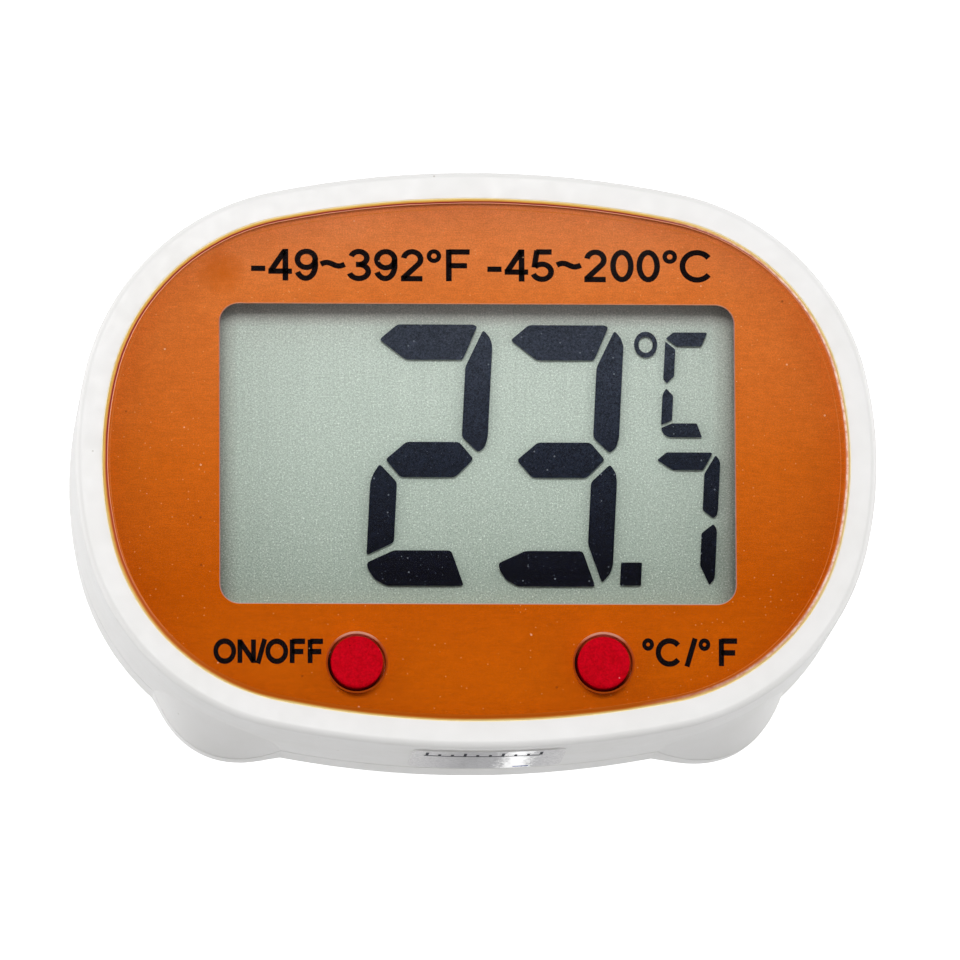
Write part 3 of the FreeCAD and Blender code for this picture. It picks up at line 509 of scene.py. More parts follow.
def display_reflector():
    """Greenish grey display ground, grained like brushed silver paper, with painted light and
    shade.
    """
    g = Graph("display_reflector")
    # Painted light: the ground is lighter towards the top.
    height = g.remap(g.axis(1), WINDOW_LOW_Y, WINDOW_HIGH_Y)
    uneven = g.math("MULTIPLY", g.math("SUBTRACT", g.noise(7.0, 3.0), 0.5), 0.12)
    stops = [
        (0.0, srgb(171, 180, 168)),
        (0.12, srgb(171, 183, 172)),
        (0.5, srgb(195, 207, 197)),
        (0.85, srgb(210, 221, 212)),
        (1.0, srgb(212, 220, 212)),
    ]
    colour = g.ramp(g.math("ADD", height, uneven), stops)
    lines = g.remap(g.noise(0.4, 2.0, 0.6, (0.5, 30, 1)), 0.3, 0.7, 0.0, 0.16)
    colour = g.mix(lines, colour, srgb(150, 166, 158))
    colour = g.shade(colour, 0.72, 1.2, 0.12)
    # Painted highlights: small glints.
    glint = g.remap(g.noise(0.12, 2.0, 0.8), 0.6, 0.72)
    colour = g.mix(g.math("MULTIPLY", glint, 0.8), colour, srgb(250, 254, 246))
    # Painted light: a yellowish glow along the bottom edge.
    glow = g.math("MULTIPLY", g.remap(g.axis(1), WINDOW_LOW_Y + 1.6, WINDOW_LOW_Y - 0.2, 0.0, 0.35),
                  g.remap(g.noise(0.14, 2.0, 0.8), 0.44, 0.6))
    colour = g.mix(glow, colour, srgb(226, 226, 196))
    # Painted shade near the left and right edges.
    sideways = g.math("SUBTRACT", WINDOW_WIDTH / 2, g.away(g.axis(0), WINDOW_X))
    downwards = g.math("SUBTRACT", WINDOW_HIGH_Y, g.axis(1))
    side_painted_shade = [(0.0, srgb(182, 168, 168)), (0.5, srgb(226, 220, 220)), (1.0, (1, 1, 1, 1))]
    colour = g.mix(1.0, colour, g.ramp(g.remap(sideways, -0.4, 1.6), side_painted_shade), "MULTIPLY")
    # Painted shadow under the top edge.
    top_painted_shadow = [(0.0, srgb(228, 212, 216)), (0.5, srgb(240, 232, 234)), (1.0, (1, 1, 1, 1))]
    colour = g.mix(1.0, colour, g.ramp(g.remap(downwards, 0.0, 1.4), top_painted_shadow), "MULTIPLY")
    shader = g.principled(Base_Color=colour, Roughness=0.6, Specular_IOR_Level=0.02)
    return g.finish(shader)


def display_segment():
    """Dark navy segment: painted lighter at the top, and fine light specks as painted sparkle of
    the film.
    """
    g = Graph("display_segment")
    # Painted light: the segments are lighter towards the top.
    height = g.remap(g.axis(1), WINDOW_LOW_Y, WINDOW_HIGH_Y)
    stops = [
        (0.0, srgb(3, 4, 16)),
        (0.12, srgb(4, 5, 18)),
        (0.5, srgb(28, 33, 46)),
        (0.9, srgb(52, 57, 70)),
    ]
    colour = g.ramp(height, stops)
    colour = g.shade(colour, 0.4, 1.7, 0.13)
    # Painted highlights: light specks for the anti-glare film's sparkle.
    colour = g.dust(colour, 0.27, 0.17, 0.3, 0.35, srgb(92, 100, 116))
    colour = g.dust(colour, 0.5, 0.13, 0.3, 0.5, srgb(140, 148, 160))
    shader = g.principled(Base_Color=colour, Roughness=0.6, Specular_IOR_Level=0.01)
    return g.finish(shader)


def printed(name, dark, light):
    """Thin printed lettering or line, slightly uneven, with a few pinholes, or a painted line of
    light.
    """
    g = Graph(name)
    colour = g.mix(g.remap(g.noise(0.22, 2.0, 0.7), 0.35, 0.7, 0.0, 0.5), dark, light)
    colour = g.dust(colour, 0.6, 0.1, 0.12, 0.7, srgb(196, 150, 110))
    gloss = g.vary(0.5, 0.62, 0.5)
    shader = g.principled(Base_Color=colour, Roughness=gloss, Specular_IOR_Level=0.02)
    return g.finish(shader)


def window_rim_light():
    """Painted light round the window's edge, refracted by the lens: mauve at the sides, warmer at
    the top.
    """
    g = Graph("window_rim_light")
    height = g.remap(g.axis(1), WINDOW_LOW_Y, WINDOW_HIGH_Y)
    stops = [
        (0.0, srgb(196, 168, 150)),
        (0.03, srgb(170, 124, 112)),
        (0.95, srgb(168, 112, 100)),
        (1.0, srgb(206, 126, 78)),
    ]
    colour = g.ramp(height, stops)
    colour = g.mix(g.remap(g.noise(0.6, 2.0), 0.35, 0.7, 0.0, 0.25), colour, srgb(206, 170, 156))
    shader = g.principled(Base_Color=colour, Roughness=0.5, Specular_IOR_Level=0.05)
    return g.finish(shader)


def key_gap_painted_shade(name, key):
    """Painted shade in the narrow gap round a key: near black on its lower left, warm on the other
    side.
    """
    g = Graph(name)
    left = g.math("MULTIPLY", g.math("SUBTRACT", key.x, g.axis(0)), 0.78)
    down = g.math("MULTIPLY", g.math("SUBTRACT", key.y, g.axis(1)), 0.62)
    facing = g.math("ADD", g.math("ADD", left, down), g.noise(0.8))
    colour = g.ramp(g.remap(facing, -0.3, 1.9), [(0.0, srgb(178, 62, 18)), (1.0, srgb(40, 6, 6))])
    shader = g.principled(Base_Color=colour, Roughness=0.6, Specular_IOR_Level=0.02)
    return g.finish(shader)


def glue_and_yellow_light():
    """Clear adhesive in the joint round the lens, painted yellow for the light its edge throws into
    it.
    """
    g = Graph("glue_and_yellow_light")
    colour = g.mottle(srgb(246, 236, 190), srgb(240, 214, 140), 5.0, 2.0)
    normal = g.bump(g.noise(0.5), 0.02)
    shader = g.principled(Base_Color=colour, Roughness=0.3, Normal=normal)
    return g.finish(shader)


def red_key():
    """Crimson satin plastic with light and dark specks."""
    g = Graph("red_key")
    colour = g.mottle(srgb(182, 1, 18), srgb(196, 2, 25), 0.7, 3.0)
    colour = g.shade(colour, 0.82, 1.14, 0.2, 2.0)
    colour = g.dust(colour, 0.5, 0.1, 0.2, 0.6, srgb(244, 150, 160))
    colour = g.dust(colour, 0.6, 0.1, 0.25, 0.7, srgb(100, 0, 16))
    normal = g.bump(g.noise(0.16, 3.0), 0.004)
    gloss = g.vary(0.4, 0.55, 0.3)
    shader = g.principled(Base_Color=colour, Roughness=gloss, Normal=normal,
                          Specular_IOR_Level=0.01)
    return g.finish(shader)


def metal(name, light, dark, roughness, grain, stretch=(1, 1, 1)):
    """Metal with a directional grain: streaks of colour, gloss and fine relief."""
    g = Graph(name)
    streaks = g.noise(grain, 4.0, 0.65, stretch)
    colour = g.ramp(streaks, [(0.3, dark), (0.7, light)])
    gloss = g.vary(roughness - 0.07, roughness + 0.1, grain * 2, 3.0, 0.6, stretch)
    normal = g.bump(streaks, 0.002)
    shader = g.principled(Base_Color=colour, Metallic=1.0, Roughness=gloss, Normal=normal)
    return g.finish(shader)


def soft_black(name, pore):
    """Black rubber or foam with pores."""
    g = Graph(name)
    colour = g.mottle(srgb(26, 26, 27), srgb(48, 48, 49), pore * 2)
    normal = g.bump(g.noise(pore, 3.0), pore * 0.2)
    shader = g.principled(Base_Color=colour, Roughness=0.75, Normal=normal)
    return g.finish(shader)


def striped_elastomer():
    """Pink silicone with the dark conducting layers of the display's connector."""
    g = Graph("striped_elastomer")
    phase = g.math("FRACT", g.math("MULTIPLY", g.axis(0), 4.0))
    stripe = g.math("LESS_THAN", phase, 0.5)
    pink = g.mottle(srgb(214, 160, 160), srgb(226, 176, 172), 1.0)
    colour = g.mix(stripe, pink, srgb(40, 38, 40))
    shader = g.principled(Base_Color=colour, Roughness=0.55)
    return g.finish(shader)


def green_board():
    """Solder mask with darker clearances between faint copper areas."""
    g = Graph("green_board")
    squares = {"Vector": g.position(1.6), "Scale": 1.0, "Color1": srgb(14, 96, 52)}
    squares.update({"Color2": srgb(22, 120, 64), "Mortar": srgb(8, 66, 38), "Mortar Size": 0.06})
    tracks = g.node("TexBrick", squares).outputs[0]
    colour = g.mix(g.vary(0.0, 0.3, 0.5), tracks, srgb(10, 84, 46))
    shader = g.principled(Base_Color=colour, Roughness=0.32, Coat_Weight=0.3)
    return g.finish(shader)


def translucent(name, light, dark, roughness):
    """Milky silicone, glass bead or paste."""
    g = Graph(name)
    colour = g.mottle(dark, light, 0.8, 3.0)
    normal = g.bump(g.noise(0.2), 0.01)
    shader = g.principled(Subsurface_Weight=0.2, Subsurface_Scale=MM, Base_Color=colour,
                          Roughness=roughness, Normal=normal)
    return g.finish(shader)


def steel_stem():
    """Drawn stainless tube: fine rings round it, long faint draw marks and finger smears."""
    g = Graph("stem_steel")
    rings = g.noise(0.3, 3.0, 0.6, (8, 8, 0.35))
    draw = g.noise(0.5, 3.0, 0.6, (0.6, 0.6, 60))
    colour = g.ramp(rings, [(0.3, srgb(196, 198, 200)), (0.7, srgb(220, 222, 223))])
    colour = g.mix(g.remap(draw, 0.4, 0.7, 0.0, 0.35), colour, srgb(176, 179, 183))
    gloss = g.remap(g.noise(9.0, 3.0), 0.35, 0.7, 0.2, 0.36)
    normal = g.bump(g.math("ADD", rings, draw), 0.0025)
    shader = g.principled(Base_Color=colour, Metallic=1.0, Roughness=gloss, Normal=normal)
    return g.finish(shader)


def foil():
    """Mottled foil, dull over its length, with painted reflection and one painted, glowing streak
    down the curve.
    """
    g = Graph("metal_foil")
    along = g.remap(g.axis(0), LABEL_LOW.x / MM, LABEL_HIGH.x / MM)
    ragged = g.math("MULTIPLY", g.math("SUBTRACT", g.noise(0.3, 3.0, 0.7, (1, 1, 2)), 0.5), 0.3)
    # Painted reflection: lighter and darker bands along the label, and a painted highlight streak.
    stops = [
        (0.0, srgb(226, 224, 224)),
        (0.16, srgb(204, 202, 204)),
        (0.36, srgb(170, 169, 172)),
        (0.56, srgb(184, 183, 186)),
        (0.63, srgb(255, 255, 255)),
        (0.78, srgb(255, 255, 255)),
        (0.82, srgb(206, 205, 208)),
        (1.0, srgb(226, 224, 224)),
    ]
    place = g.math("ADD", along, ragged)
    bright = g.remap(g.away(place, 0.7), 0.04, 0.08, 1.0, 0.0)
    colour = g.ramp(place, stops)
    grained = g.shade(colour, 0.74, 1.14, 0.2)
    colour = g.mix(bright, grained, colour)
    normal = g.bump(g.noise(1.6, 3.0, 0.6, (1, 1, 6)), 0.02)
    gloss = g.vary(0.3, 0.45, 0.4)
    # Painted highlight: the streak is less metallic and glows.
    dull = g.math("SUBTRACT", 0.3, g.math("MULTIPLY", bright, 0.3))
    glare = g.math("MULTIPLY", bright, 0.38)
    face = g.principled(Base_Color=colour, Metallic=dull, Roughness=gloss, Normal=normal,
                        Emission_Color=CLEAR, Emission_Strength=glare)
    edge = g.principled(Base_Color=srgb(224, 223, 222), Roughness=0.5)
    on_face = g.math("LESS_THAN", g.facing(1), -0.6)
    return g.finish(g.shader_mix(on_face, edge, face))


def paint(nodes, material):
    """Gives these CAD nodes one material."""
    for name in nodes:
        mesh = NODES[name].data
        mesh.materials.clear()
        mesh.materials.append(material)


def paint_frame():
    """A finished material on every CAD node."""
    white = moulded("white_abs", srgb(231, 230, 229), srgb(227, 226, 224),
                    speck=srgb(203, 200, 195))
    grey = moulded("grey_abs", srgb(172, 172, 168), srgb(160, 160, 156), 0.5)
    steel = metal("plated_screw", srgb(206, 206, 202), srgb(176, 176, 172), 0.26, 0.3)
    cell = metal("cell_steel", srgb(214, 215, 216), srgb(186, 188, 190), 0.22, 0.5, (1, 1, 0.3))
    brass = metal("contact_brass", srgb(226, 202, 130), srgb(196, 170, 98), 0.28, 0.4, (4, 0.4, 4))
    rubber = soft_black("black_rubber", 0.1)
    foam = soft_black("black_foam", 0.16)
    silicone = translucent("silicone", srgb(214, 214, 208), srgb(198, 198, 192), 0.45)
    bead = translucent("bead_glass", srgb(70, 46, 36), srgb(48, 30, 24), 0.12)
    paste = translucent("white_paste", srgb(240, 240, 236), srgb(226, 226, 220), 0.6)
    leads = moulded("lead_insulation", srgb(226, 220, 208), srgb(212, 204, 190), 0.35)
    epoxy = moulded("black_epoxy", srgb(30, 30, 31), srgb(20, 20, 21), 0.28, 0.01)
    black = moulded("chip_black", srgb(44, 44, 47), srgb(32, 32, 34), 0.5)
    tan = moulded("chip_tan", srgb(176, 152, 116), srgb(160, 136, 102), 0.5)
    stem = steel_stem()
    paint(["front_casing", "rear_cover", "battery_cover"], white)
    paint(["clear_lens"], clear_acrylic())
    paint(["orange_print"], orange_ink())
    paint(["foil_label"], foil())
    paint(["front_polariser"], display_film())
    paint(["lcd_front_glass", "lcd_rear_glass"], display_glass())
    paint(["rear_reflector"], display_reflector())
    paint(["lcd_foam_frame"], foam)
    paint(["lcd_backing_frame"], grey)
    paint(["zebra_strip"], striped_elastomer())
    paint(["on_off_key", "unit_key"], red_key())
    paint(["on_off_dome", "unit_dome"], silicone)
    paint(["main_pcb"], green_board())
    paint(["cob_chip"], epoxy)
    paint(["chip_resistors"], black)
    paint(["chip_capacitors"], tan)
    paint(["pcb_screws", "case_screws"], steel)
    paint(["button_cell"], cell)
    paint(["battery_cover_oring", "stem_oring"], rubber)
    paint(["negative_contact", "positive_contact"], brass)
    paint(["stem_tube", "stem_tip", "stem_ferrule"], stem)
    paint(["thermistor_bead"], bead)
    paint(["thermistor_leads"], leads)
    paint(["tip_filler"], paste)


# ------------------------------------------------------------------ shapes of the added pieces
def oval_points(offset, per_arc=40):
    """Points round the head's outline, moved outwards by an offset in mm."""
    top_y = HALF_HEIGHT - TOP_RADIUS
    side_x = HALF_WIDTH - SIDE_RADIUS
    to_top = TOP_RADIUS - CORNER_RADIUS
    to_side = SIDE_RADIUS - CORNER_RADIUS
    apart = math.hypot(side_x, top_y)
    along = (to_side**2 - to_top**2 + apart**2) / (2 * apart)
    across = math.sqrt(to_side**2 - along**2)
    ux, uy = -side_x / apart, top_y / apart
    corner = (side_x + along * ux - across * uy, along * uy + across * ux)
    high = math.atan2(corner[1] - top_y, corner[0])
    low = math.atan2(corner[1], corner[0] - side_x)
    quarter = []
    arcs = [
        (side_x, 0.0, SIDE_RADIUS, 0.0, low),
        (corner[0], corner[1], CORNER_RADIUS, low, high),
        (0.0, top_y, TOP_RADIUS, high, math.pi / 2),
    ]
    for cx, cy, radius, first, last in arcs:
        for i in range(per_arc):
            a = first + (last - first) * i / per_arc
            r = radius + offset
            quarter.append((cx + r * math.cos(a), cy + r * math.sin(a)))
    peak = (0.0, HALF_HEIGHT + offset)
    points = quarter + [peak]
    points += [(-x, y) for x, y in reversed(quarter)]
    points += [(-x, -y) for x, y in quarter[1:]] + [(0.0, -peak[1])]
    points += [(x, -y) for x, y in reversed(quarter[1:])]
    return points


def window_points(margin, per_corner=12):
    """Points round the display window, grown by a margin in mm."""
    radius = WINDOW_ROUND + margin
    half_w = WINDOW_WIDTH / 2 + margin - radius
    half_h = WINDOW_HEIGHT / 2 + margin - radius
    points = []
    for turn, (sx, sy) in enumerate([(1, 1), (-1, 1), (-1, -1), (1, -1)]):
        for i in range(per_corner + 1):
            a = math.pi / 2 * (turn + i / per_corner)
            x = WINDOW_X + sx * half_w + radius * math.cos(a)
            y = WINDOW_Y + sy * half_h + radius * math.sin(a)
            points.append((x, y))
    return points


def add_piece(name, bm, material, body="head"):
    """Turns a bmesh in mm into a named piece that rides on a body."""
    bmesh.ops.scale(bm, vec=(MM, MM, MM), verts=bm.verts)
    bmesh.ops.recalc_face_normals(bm, faces=bm.faces)
    mesh = bpy.data.meshes.new(name)
    bm.to_mesh(mesh)
    bm.free()
    mesh.materials.append(material)
    piece = bpy.data.objects.new(name, mesh)
    bpy.context.scene.collection.objects.link(piece)
    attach(piece, body)


def closed_ring(bm, outer, inner, low, high):
    """A ring of rectangular section between two outlines with equally many points."""
    rows = []
    for outline, z in ((outer, low), (outer, high), (inner, high), (inner, low)):
        rows.append([bm.verts.new((x, y, z)) for x, y in outline])
    count = len(outer)
    for row, after in zip(rows, rows[1:] + rows[:1]):
        for i in range(count):
            j = (i + 1) % count
            bm.faces.new((row[i], row[j], after[j], after[i]))


def plate(bm, outline, low, high):
    """A flat plate with this outline."""
    bottom = [bm.verts.new((x, y, low)) for x, y in outline]
    top = [bm.verts.new((x, y, high)) for x, y in outline]
    bm.faces.new(list(reversed(bottom)))
    bm.faces.new(top)
    count = len(outline)
    for i in range(count):
        j = (i + 1) % count
        bm.faces.new((bottom[i], bottom[j], top[j], top[i]))


def softened(outline, radius, steps=3):
    """The outline with each corner rounded by up to this radius."""
    result = []
    count = len(outline)
    for i, corner in enumerate(outline):
        c = Vector(corner)
        before = Vector(outline[i - 1]) - c
        after = Vector(outline[(i + 1) % count]) - c
        cut = min(radius, 0.42 * before.length, 0.42 * after.length)
        first = c + before.normalized() * cut
        last = c + after.normalized() * cut
        for step in range(steps + 1):
            t = step / steps
            p = first * (1 - t) ** 2 + c * 2 * t * (1 - t) + last * t**2
            result.append((p.x, p.y))
    return result


# ------------------------------------------------------------------ the reading
def segment_outlines(width, height, bar, post):
    """The seven segments of one upright character, in mm from its lower left corner.

    bar and post are the widths of the level and the upright segments. The level segments meet the
    left uprights on a shallow mitre and the right uprights on a steep one.
    """
    k = height / 20
    w, h = width, height
    mid = 0.4825 * h
    half = bar / 2
    return {
        "a": [(0.14 * k, h - 1.16 * k), (1.47 * k, h), (w - 1.5 * k, h),
              (w - 1.23 * k, h - 0.15 * k), (w - post - 0.22 * k, h - bar),
              (post + 0.25 * k, h - bar)],
        "b": [(w - 0.75 * k, h - 0.39 * k), (w - 0.22 * k, h - 0.97 * k), (w, h - 1.56 * k),
              (w, mid + 1.76 * k), (w - 0.17 * k, mid + k), (w - 0.65 * k, mid + 0.55 * k),
              (w - post, mid + 1.76 * k), (w - post, h - bar - 0.53 * k)],
        "c": [(w - 0.58 * k, mid - 0.3 * k), (w - 0.1 * k, mid - 0.98 * k), (w, mid - 1.68 * k),
              (w, 1.65 * k), (w - 0.2 * k, 0.96 * k), (w - 0.77 * k, 0.28 * k),
              (w - post, bar + 0.53 * k), (w - post, mid - 1.68 * k)],
        "d": [(0.03 * k, 1.76 * k), (post + 0.08 * k, bar), (w - post - 0.37 * k, bar),
              (w - 1.25 * k, 0), (1.6 * k, 0), (0.71 * k, 0.5 * k), (0.19 * k, 1.2 * k)],
        "e": [(0.65 * k, mid - 0.34 * k), (post + 0.06 * k, mid - 1.74 * k),
              (post + 0.06 * k, bar + 0.6 * k), (0, 2.32 * k), (0, mid - 1.79 * k),
              (0.19 * k, mid - 1.1 * k)],
        "f": [(0.04 * k, h - 1.72 * k), (post + 0.04 * k, h - bar - 0.6 * k),
              (post + 0.04 * k, mid + 2.0 * k), (0.7 * k, mid + 0.6 * k), (0, mid + 1.5 * k)],
        "g": [(1.07 * k, mid), (2.59 * k, mid + half), (w - post - 0.18 * k, mid + half),
              (w - 0.99 * k, mid + 0.05 * k), (w - post - 0.38 * k, mid - half),
              (2.3 * k, mid - half)],
    }


def leaning(points, x, y):
    """Moves an upright outline to its place and leans it to the right."""
    return [(x + px + py * SLANT, y + py) for px, py in points]


def add_character(name, shown, x, y, size, material):
    """One seven-segment character whose lower left corner is at x, y."""
    width, height, bar, post = size
    outlines = segment_outlines(width, height, bar, post)
    bm = bmesh.new()
    for key in shown:
        outline = softened(leaning(outlines[key], x, y), SEGMENT_ROUND * height)
        plate(bm, outline, SEGMENT_LOW_Z, SEGMENT_LOW_Z + SEGMENT_THICK)
    add_piece(name, bm, material)


def add_reading():
    """The reading 23.7 with its degree sign and unit letter."""
    ink = display_segment()
    for name, shown, x, y, size in CHARACTERS:
        add_character(name, shown, x, y, size, ink)
    low, high = SEGMENT_LOW_Z, SEGMENT_LOW_Z + SEGMENT_THICK
    bm = bmesh.new()
    width, height = POINT_SIZE
    point = leaning([(0, 0), (width, 0), (width, height), (0, height)], *POINT_CORNER)
    plate(bm, softened(point, POINT_ROUND), low, high)
    add_piece("reading_point", bm, ink)
    bm = bmesh.new()
    outer = full_turn(*DEGREE_CENTRE, *DEGREE_OUTER)
    inner = full_turn(*DEGREE_CENTRE, *DEGREE_INNER)
    closed_ring(bm, outer, inner, low, high)
    add_piece("reading_degree", bm, ink)


# ------------------------------------------------------------------ printed pieces
def arc(cx, cy, rx, ry, first, last, steps=22):
    """Points along an elliptical arc, by angle in degrees."""
    angles = [math.radians(first + (last - first) * i / steps) for i in range(steps + 1)]
    return [(cx + rx * math.cos(a), cy + ry * math.sin(a)) for a in angles]


def full_turn(cx, cy, rx, ry, steps=48):
    """Points once round an ellipse."""
    return arc(cx, cy, rx, ry, 0, 360, steps)[:-1]


def wave(x0, x1, y, rise, steps=24):
    """One period of a sine wave, for the range sign."""
    turns = [i / steps for i in range(steps + 1)]
    return [(x0 + (x1 - x0) * t, y + rise * math.sin(2 * math.pi * t)) for t in turns]


# Each plain sans-serif sign as (advance, strokes), with the capitals 1 high.
ROUND = 0.425
SIGNS = {
    "-": (0.47, [[(0.0, 0.38), (0.42, 0.38)]]),
    "~": (0.79, [wave(0.03, 0.74, 0.52, 0.055)]),
    "/": (0.39, [[(0.03, -0.02), (0.36, 1.02)]]),
    "0": (0.78, [arc(0.39, 0.5, 0.265, ROUND, 0, 360)]),
    "2": (0.78, [arc(0.385, 0.69, 0.25, 0.235, 172, -38) + [(0.12, 0.1)],
                 [(0.05, 0.075), (0.69, 0.075)]]),
    "3": (0.78, [arc(0.37, 0.72, 0.235, 0.205, 165, -90), arc(0.365, 0.295, 0.28, 0.22, 90, -166),
                 [(0.28, 0.515), (0.38, 0.515)]]),
    "4": (0.78, [[(0.53, 0.95), (0.11, 0.3)], [(0.04, 0.295), (0.74, 0.295)],
                 [(0.545, 0.0), (0.545, 1.0)]]),
    "5": (0.78, [[(0.2, 0.925), (0.66, 0.925)], [(0.225, 0.97), (0.14, 0.44)],
                 arc(0.37, 0.31, 0.27, 0.235, 142, -162)]),
    "9": (0.78, [arc(0.385, 0.67, 0.265, 0.255, 0, 360), arc(0.365, 0.5, 0.285, ROUND, 22, -148)]),
    "C": (1.01, [arc(0.52, 0.5, 0.435, ROUND, 38, 322, 40)]),
    "F": (0.86, [[(0.19, 0.0), (0.19, 1.0)], [(0.19, 0.925), (0.81, 0.925)],
                 [(0.19, 0.49), (0.73, 0.49)]]),
    "N": (1.01, [[(0.18, 0.0), (0.18, 1.0)], [(0.18, 0.93), (0.83, 0.07)],
                 [(0.83, 0.0), (0.83, 1.0)]]),
    "O": (1.09, [arc(0.545, 0.5, 0.43, ROUND, 0, 360, 40)]),
    "degree": (0.5, [arc(0.25, 0.79, 0.15, 0.15, 0, 360)]),
}


def join_sections(bm, rows, ring=False):
    """Walls between four-cornered sections, closed at both ends or joined into a ring."""
    pairs = list(zip(rows, rows[1:])) + ([(rows[-1], rows[0])] if ring else [])
    for row, after in pairs:
        for a in range(4):
            b = (a + 1) % 4
            bm.faces.new((row[a], row[b], after[b], after[a]))
    if not ring:
        bm.faces.new(rows[0])
        bm.faces.new(list(reversed(rows[-1])))


def brush(bm, path, width, low, high):
    """A flat stroke of even width along a path, as a closed solid.

    A path that ends where it starts is a ring.
    """
    ring = math.dist(path[0], path[-1]) < 1e-6
    points = [Vector(p) for p in (path[:-1] if ring else path)]
    count = len(points)
    rows = []
    for i, p in enumerate(points):
        before = points[i - 1] if ring or i > 0 else p
        after = points[(i + 1) % count] if ring or i < count - 1 else p
        along = (after - before).normalized()
        side = Vector((-along.y, along.x)) * width / 2
        section = [(p + side, low), (p + side, high), (p - side, high), (p - side, low)]
        rows.append([bm.verts.new((q.x, q.y, z)) for q, z in section])
    join_sections(bm, rows, ring)


def add_legend(name, signs, stroke, left, right, bottom, top, material):
    """Lettering stretched to fit its place on the print, as thin solids just proud of it."""
    placed = []
    cursor = 0.0
    for sign in signs:
        if isinstance(sign, float):
            cursor += sign
            continue
        advance, strokes = SIGNS[sign]
        width = DEGREE_STROKE * stroke if sign == "degree" else stroke
        placed += [([(cursor + x, y) for x, y in path], width) for path in strokes]
        cursor += advance
    xs = [x for path, width in placed for x, y in path]
    tall = top - bottom
    margin = stroke / 2
    scale_x = (right - left) / (max(xs) - min(xs) + 2 * margin)
    low = PRINT_TOP_Z - INK_SUNK
    bm = bmesh.new()
    for path, width in placed:
        moved = [(x * tall, bottom + y * tall) for x, y in path]
        brush(bm, moved, width * tall, low, low + INK_THICK)
    start = (min(xs) - margin) * tall
    for vertex in bm.verts:
        vertex.co.x = left + (vertex.co.x - start) * scale_x / tall
    add_piece(name, bm, material)


def add_print():
    """Legends on the lens's back, and fine lines of painted light and shade at the lens and keys.
    """
    black = printed("legend_ink", srgb(8, 3, 5), srgb(28, 15, 14))
    for name, signs, stroke, left, right, bottom, top in LEGENDS:
        add_legend(name, signs, stroke, left, right, bottom, top, black)
    line_top = PRINT_TOP_Z - LINE_RECESS
    # Painted light: the line of light the lens refracts round the window's edge.
    bm = bmesh.new()
    closed_ring(bm, window_points(0.0), window_points(-RIM_LINE_WIDTH), PRINT_LOW_Z, line_top)
    add_piece("window_rim_line", bm, window_rim_light())
    # Painted light: the caustic line that the lens's bevel throws on the print inside its edge.
    bm = bmesh.new()
    low = PRINT_TOP_Z - INK_SUNK
    outer, inner = EDGE_LINE_OFFSETS
    closed_ring(bm, oval_points(outer), oval_points(inner), low, low + INK_THICK)
    line = printed("edge_caustic_light", srgb(206, 112, 40), srgb(224, 142, 78))
    add_piece("print_edge_line", bm, line)
    # The glue in the lens's joint, painted yellow for the light that the lens's edge throws into
    # it.
    bm = bmesh.new()
    outer, inner = GLUE_OFFSETS
    closed_ring(bm, oval_points(outer), oval_points(inner), LENS_BEVEL_Z - GLUE_SUNK,
                RING_FRONT_Z - GLUE_SUNK)
    add_piece("lens_glue_and_light_line", bm, glue_and_yellow_light())
    # Painted shade: dark rings in the gaps round the keys, warm where lit.
    for name, key in (("on_off_gap_shade", LEFT_KEY), ("unit_gap_shade", RIGHT_KEY)):
        bm = bmesh.new()
        radii = (KEY_HOLE_RADIUS - KEY_GAP_OUTSIDE, KEY_RADIUS + KEY_GAP_INSIDE)
        outer, inner = [full_turn(key.x, key.y, radius, radius) for radius in radii]
        closed_ring(bm, outer, inner, PRINT_LOW_Z, line_top)
        add_piece(name + "_ring", bm, key_gap_painted_shade(name + "_ink", key))


def curved_strip(bm, x0, x1, z0, z1, steps=12):
    """A strip that lies on the label along the head's lower curve, from x0 to x1 and z0 to z1."""
    radius = TOP_RADIUS + RING_WIDTH + LABEL_CLEARANCE
    inner, outer = radius - MARK_SUNK, radius + MARK_PROUD
    centre_y = TOP_RADIUS - HALF_HEIGHT
    rows = []
    for i in range(steps + 1):
        x = x0 + (x1 - x0) * i / steps
        row = []
        for r, z in ((inner, z0), (outer, z0), (outer, z1), (inner, z1)):
            row.append(bm.verts.new((x, centre_y - math.sqrt(r**2 - x**2), z)))
        rows.append(row)
    join_sections(bm, rows)


def add_label_marks():
    """A plain scale on the foil: one long line, short ticks and a blue line below."""
    dark = printed("label_ink", srgb(52, 52, 58), srgb(84, 84, 90))
    blue = printed("label_blue_ink", srgb(40, 70, 150), srgb(70, 100, 176))
    left, bottom, top = LABEL_LOW.x / MM, LABEL_LOW.z / MM, LABEL_HIGH.z / MM
    bm = bmesh.new()
    x0, x1, z0, z1 = BASE_LINE
    curved_strip(bm, left + x0, left + x1, top + z0, top + z1)
    for i in range(TICK_COUNT):
        x = left + FIRST_TICK + i * TICK_PITCH
        tall = TALL_TICK if i % 3 == 0 else SHORT_TICK
        curved_strip(bm, x, x + TICK_WIDTH, top + z1 + TICK_GAP, top + z1 + tall, 2)
    add_piece("label_scale_marks", bm, dark)
    bm = bmesh.new()
    x0, x1, z0, z1 = BLUE_LINE
    curved_strip(bm, left + x0, left + x1, bottom + z0, bottom + z1)
    add_piece("label_blue_line", bm, blue)


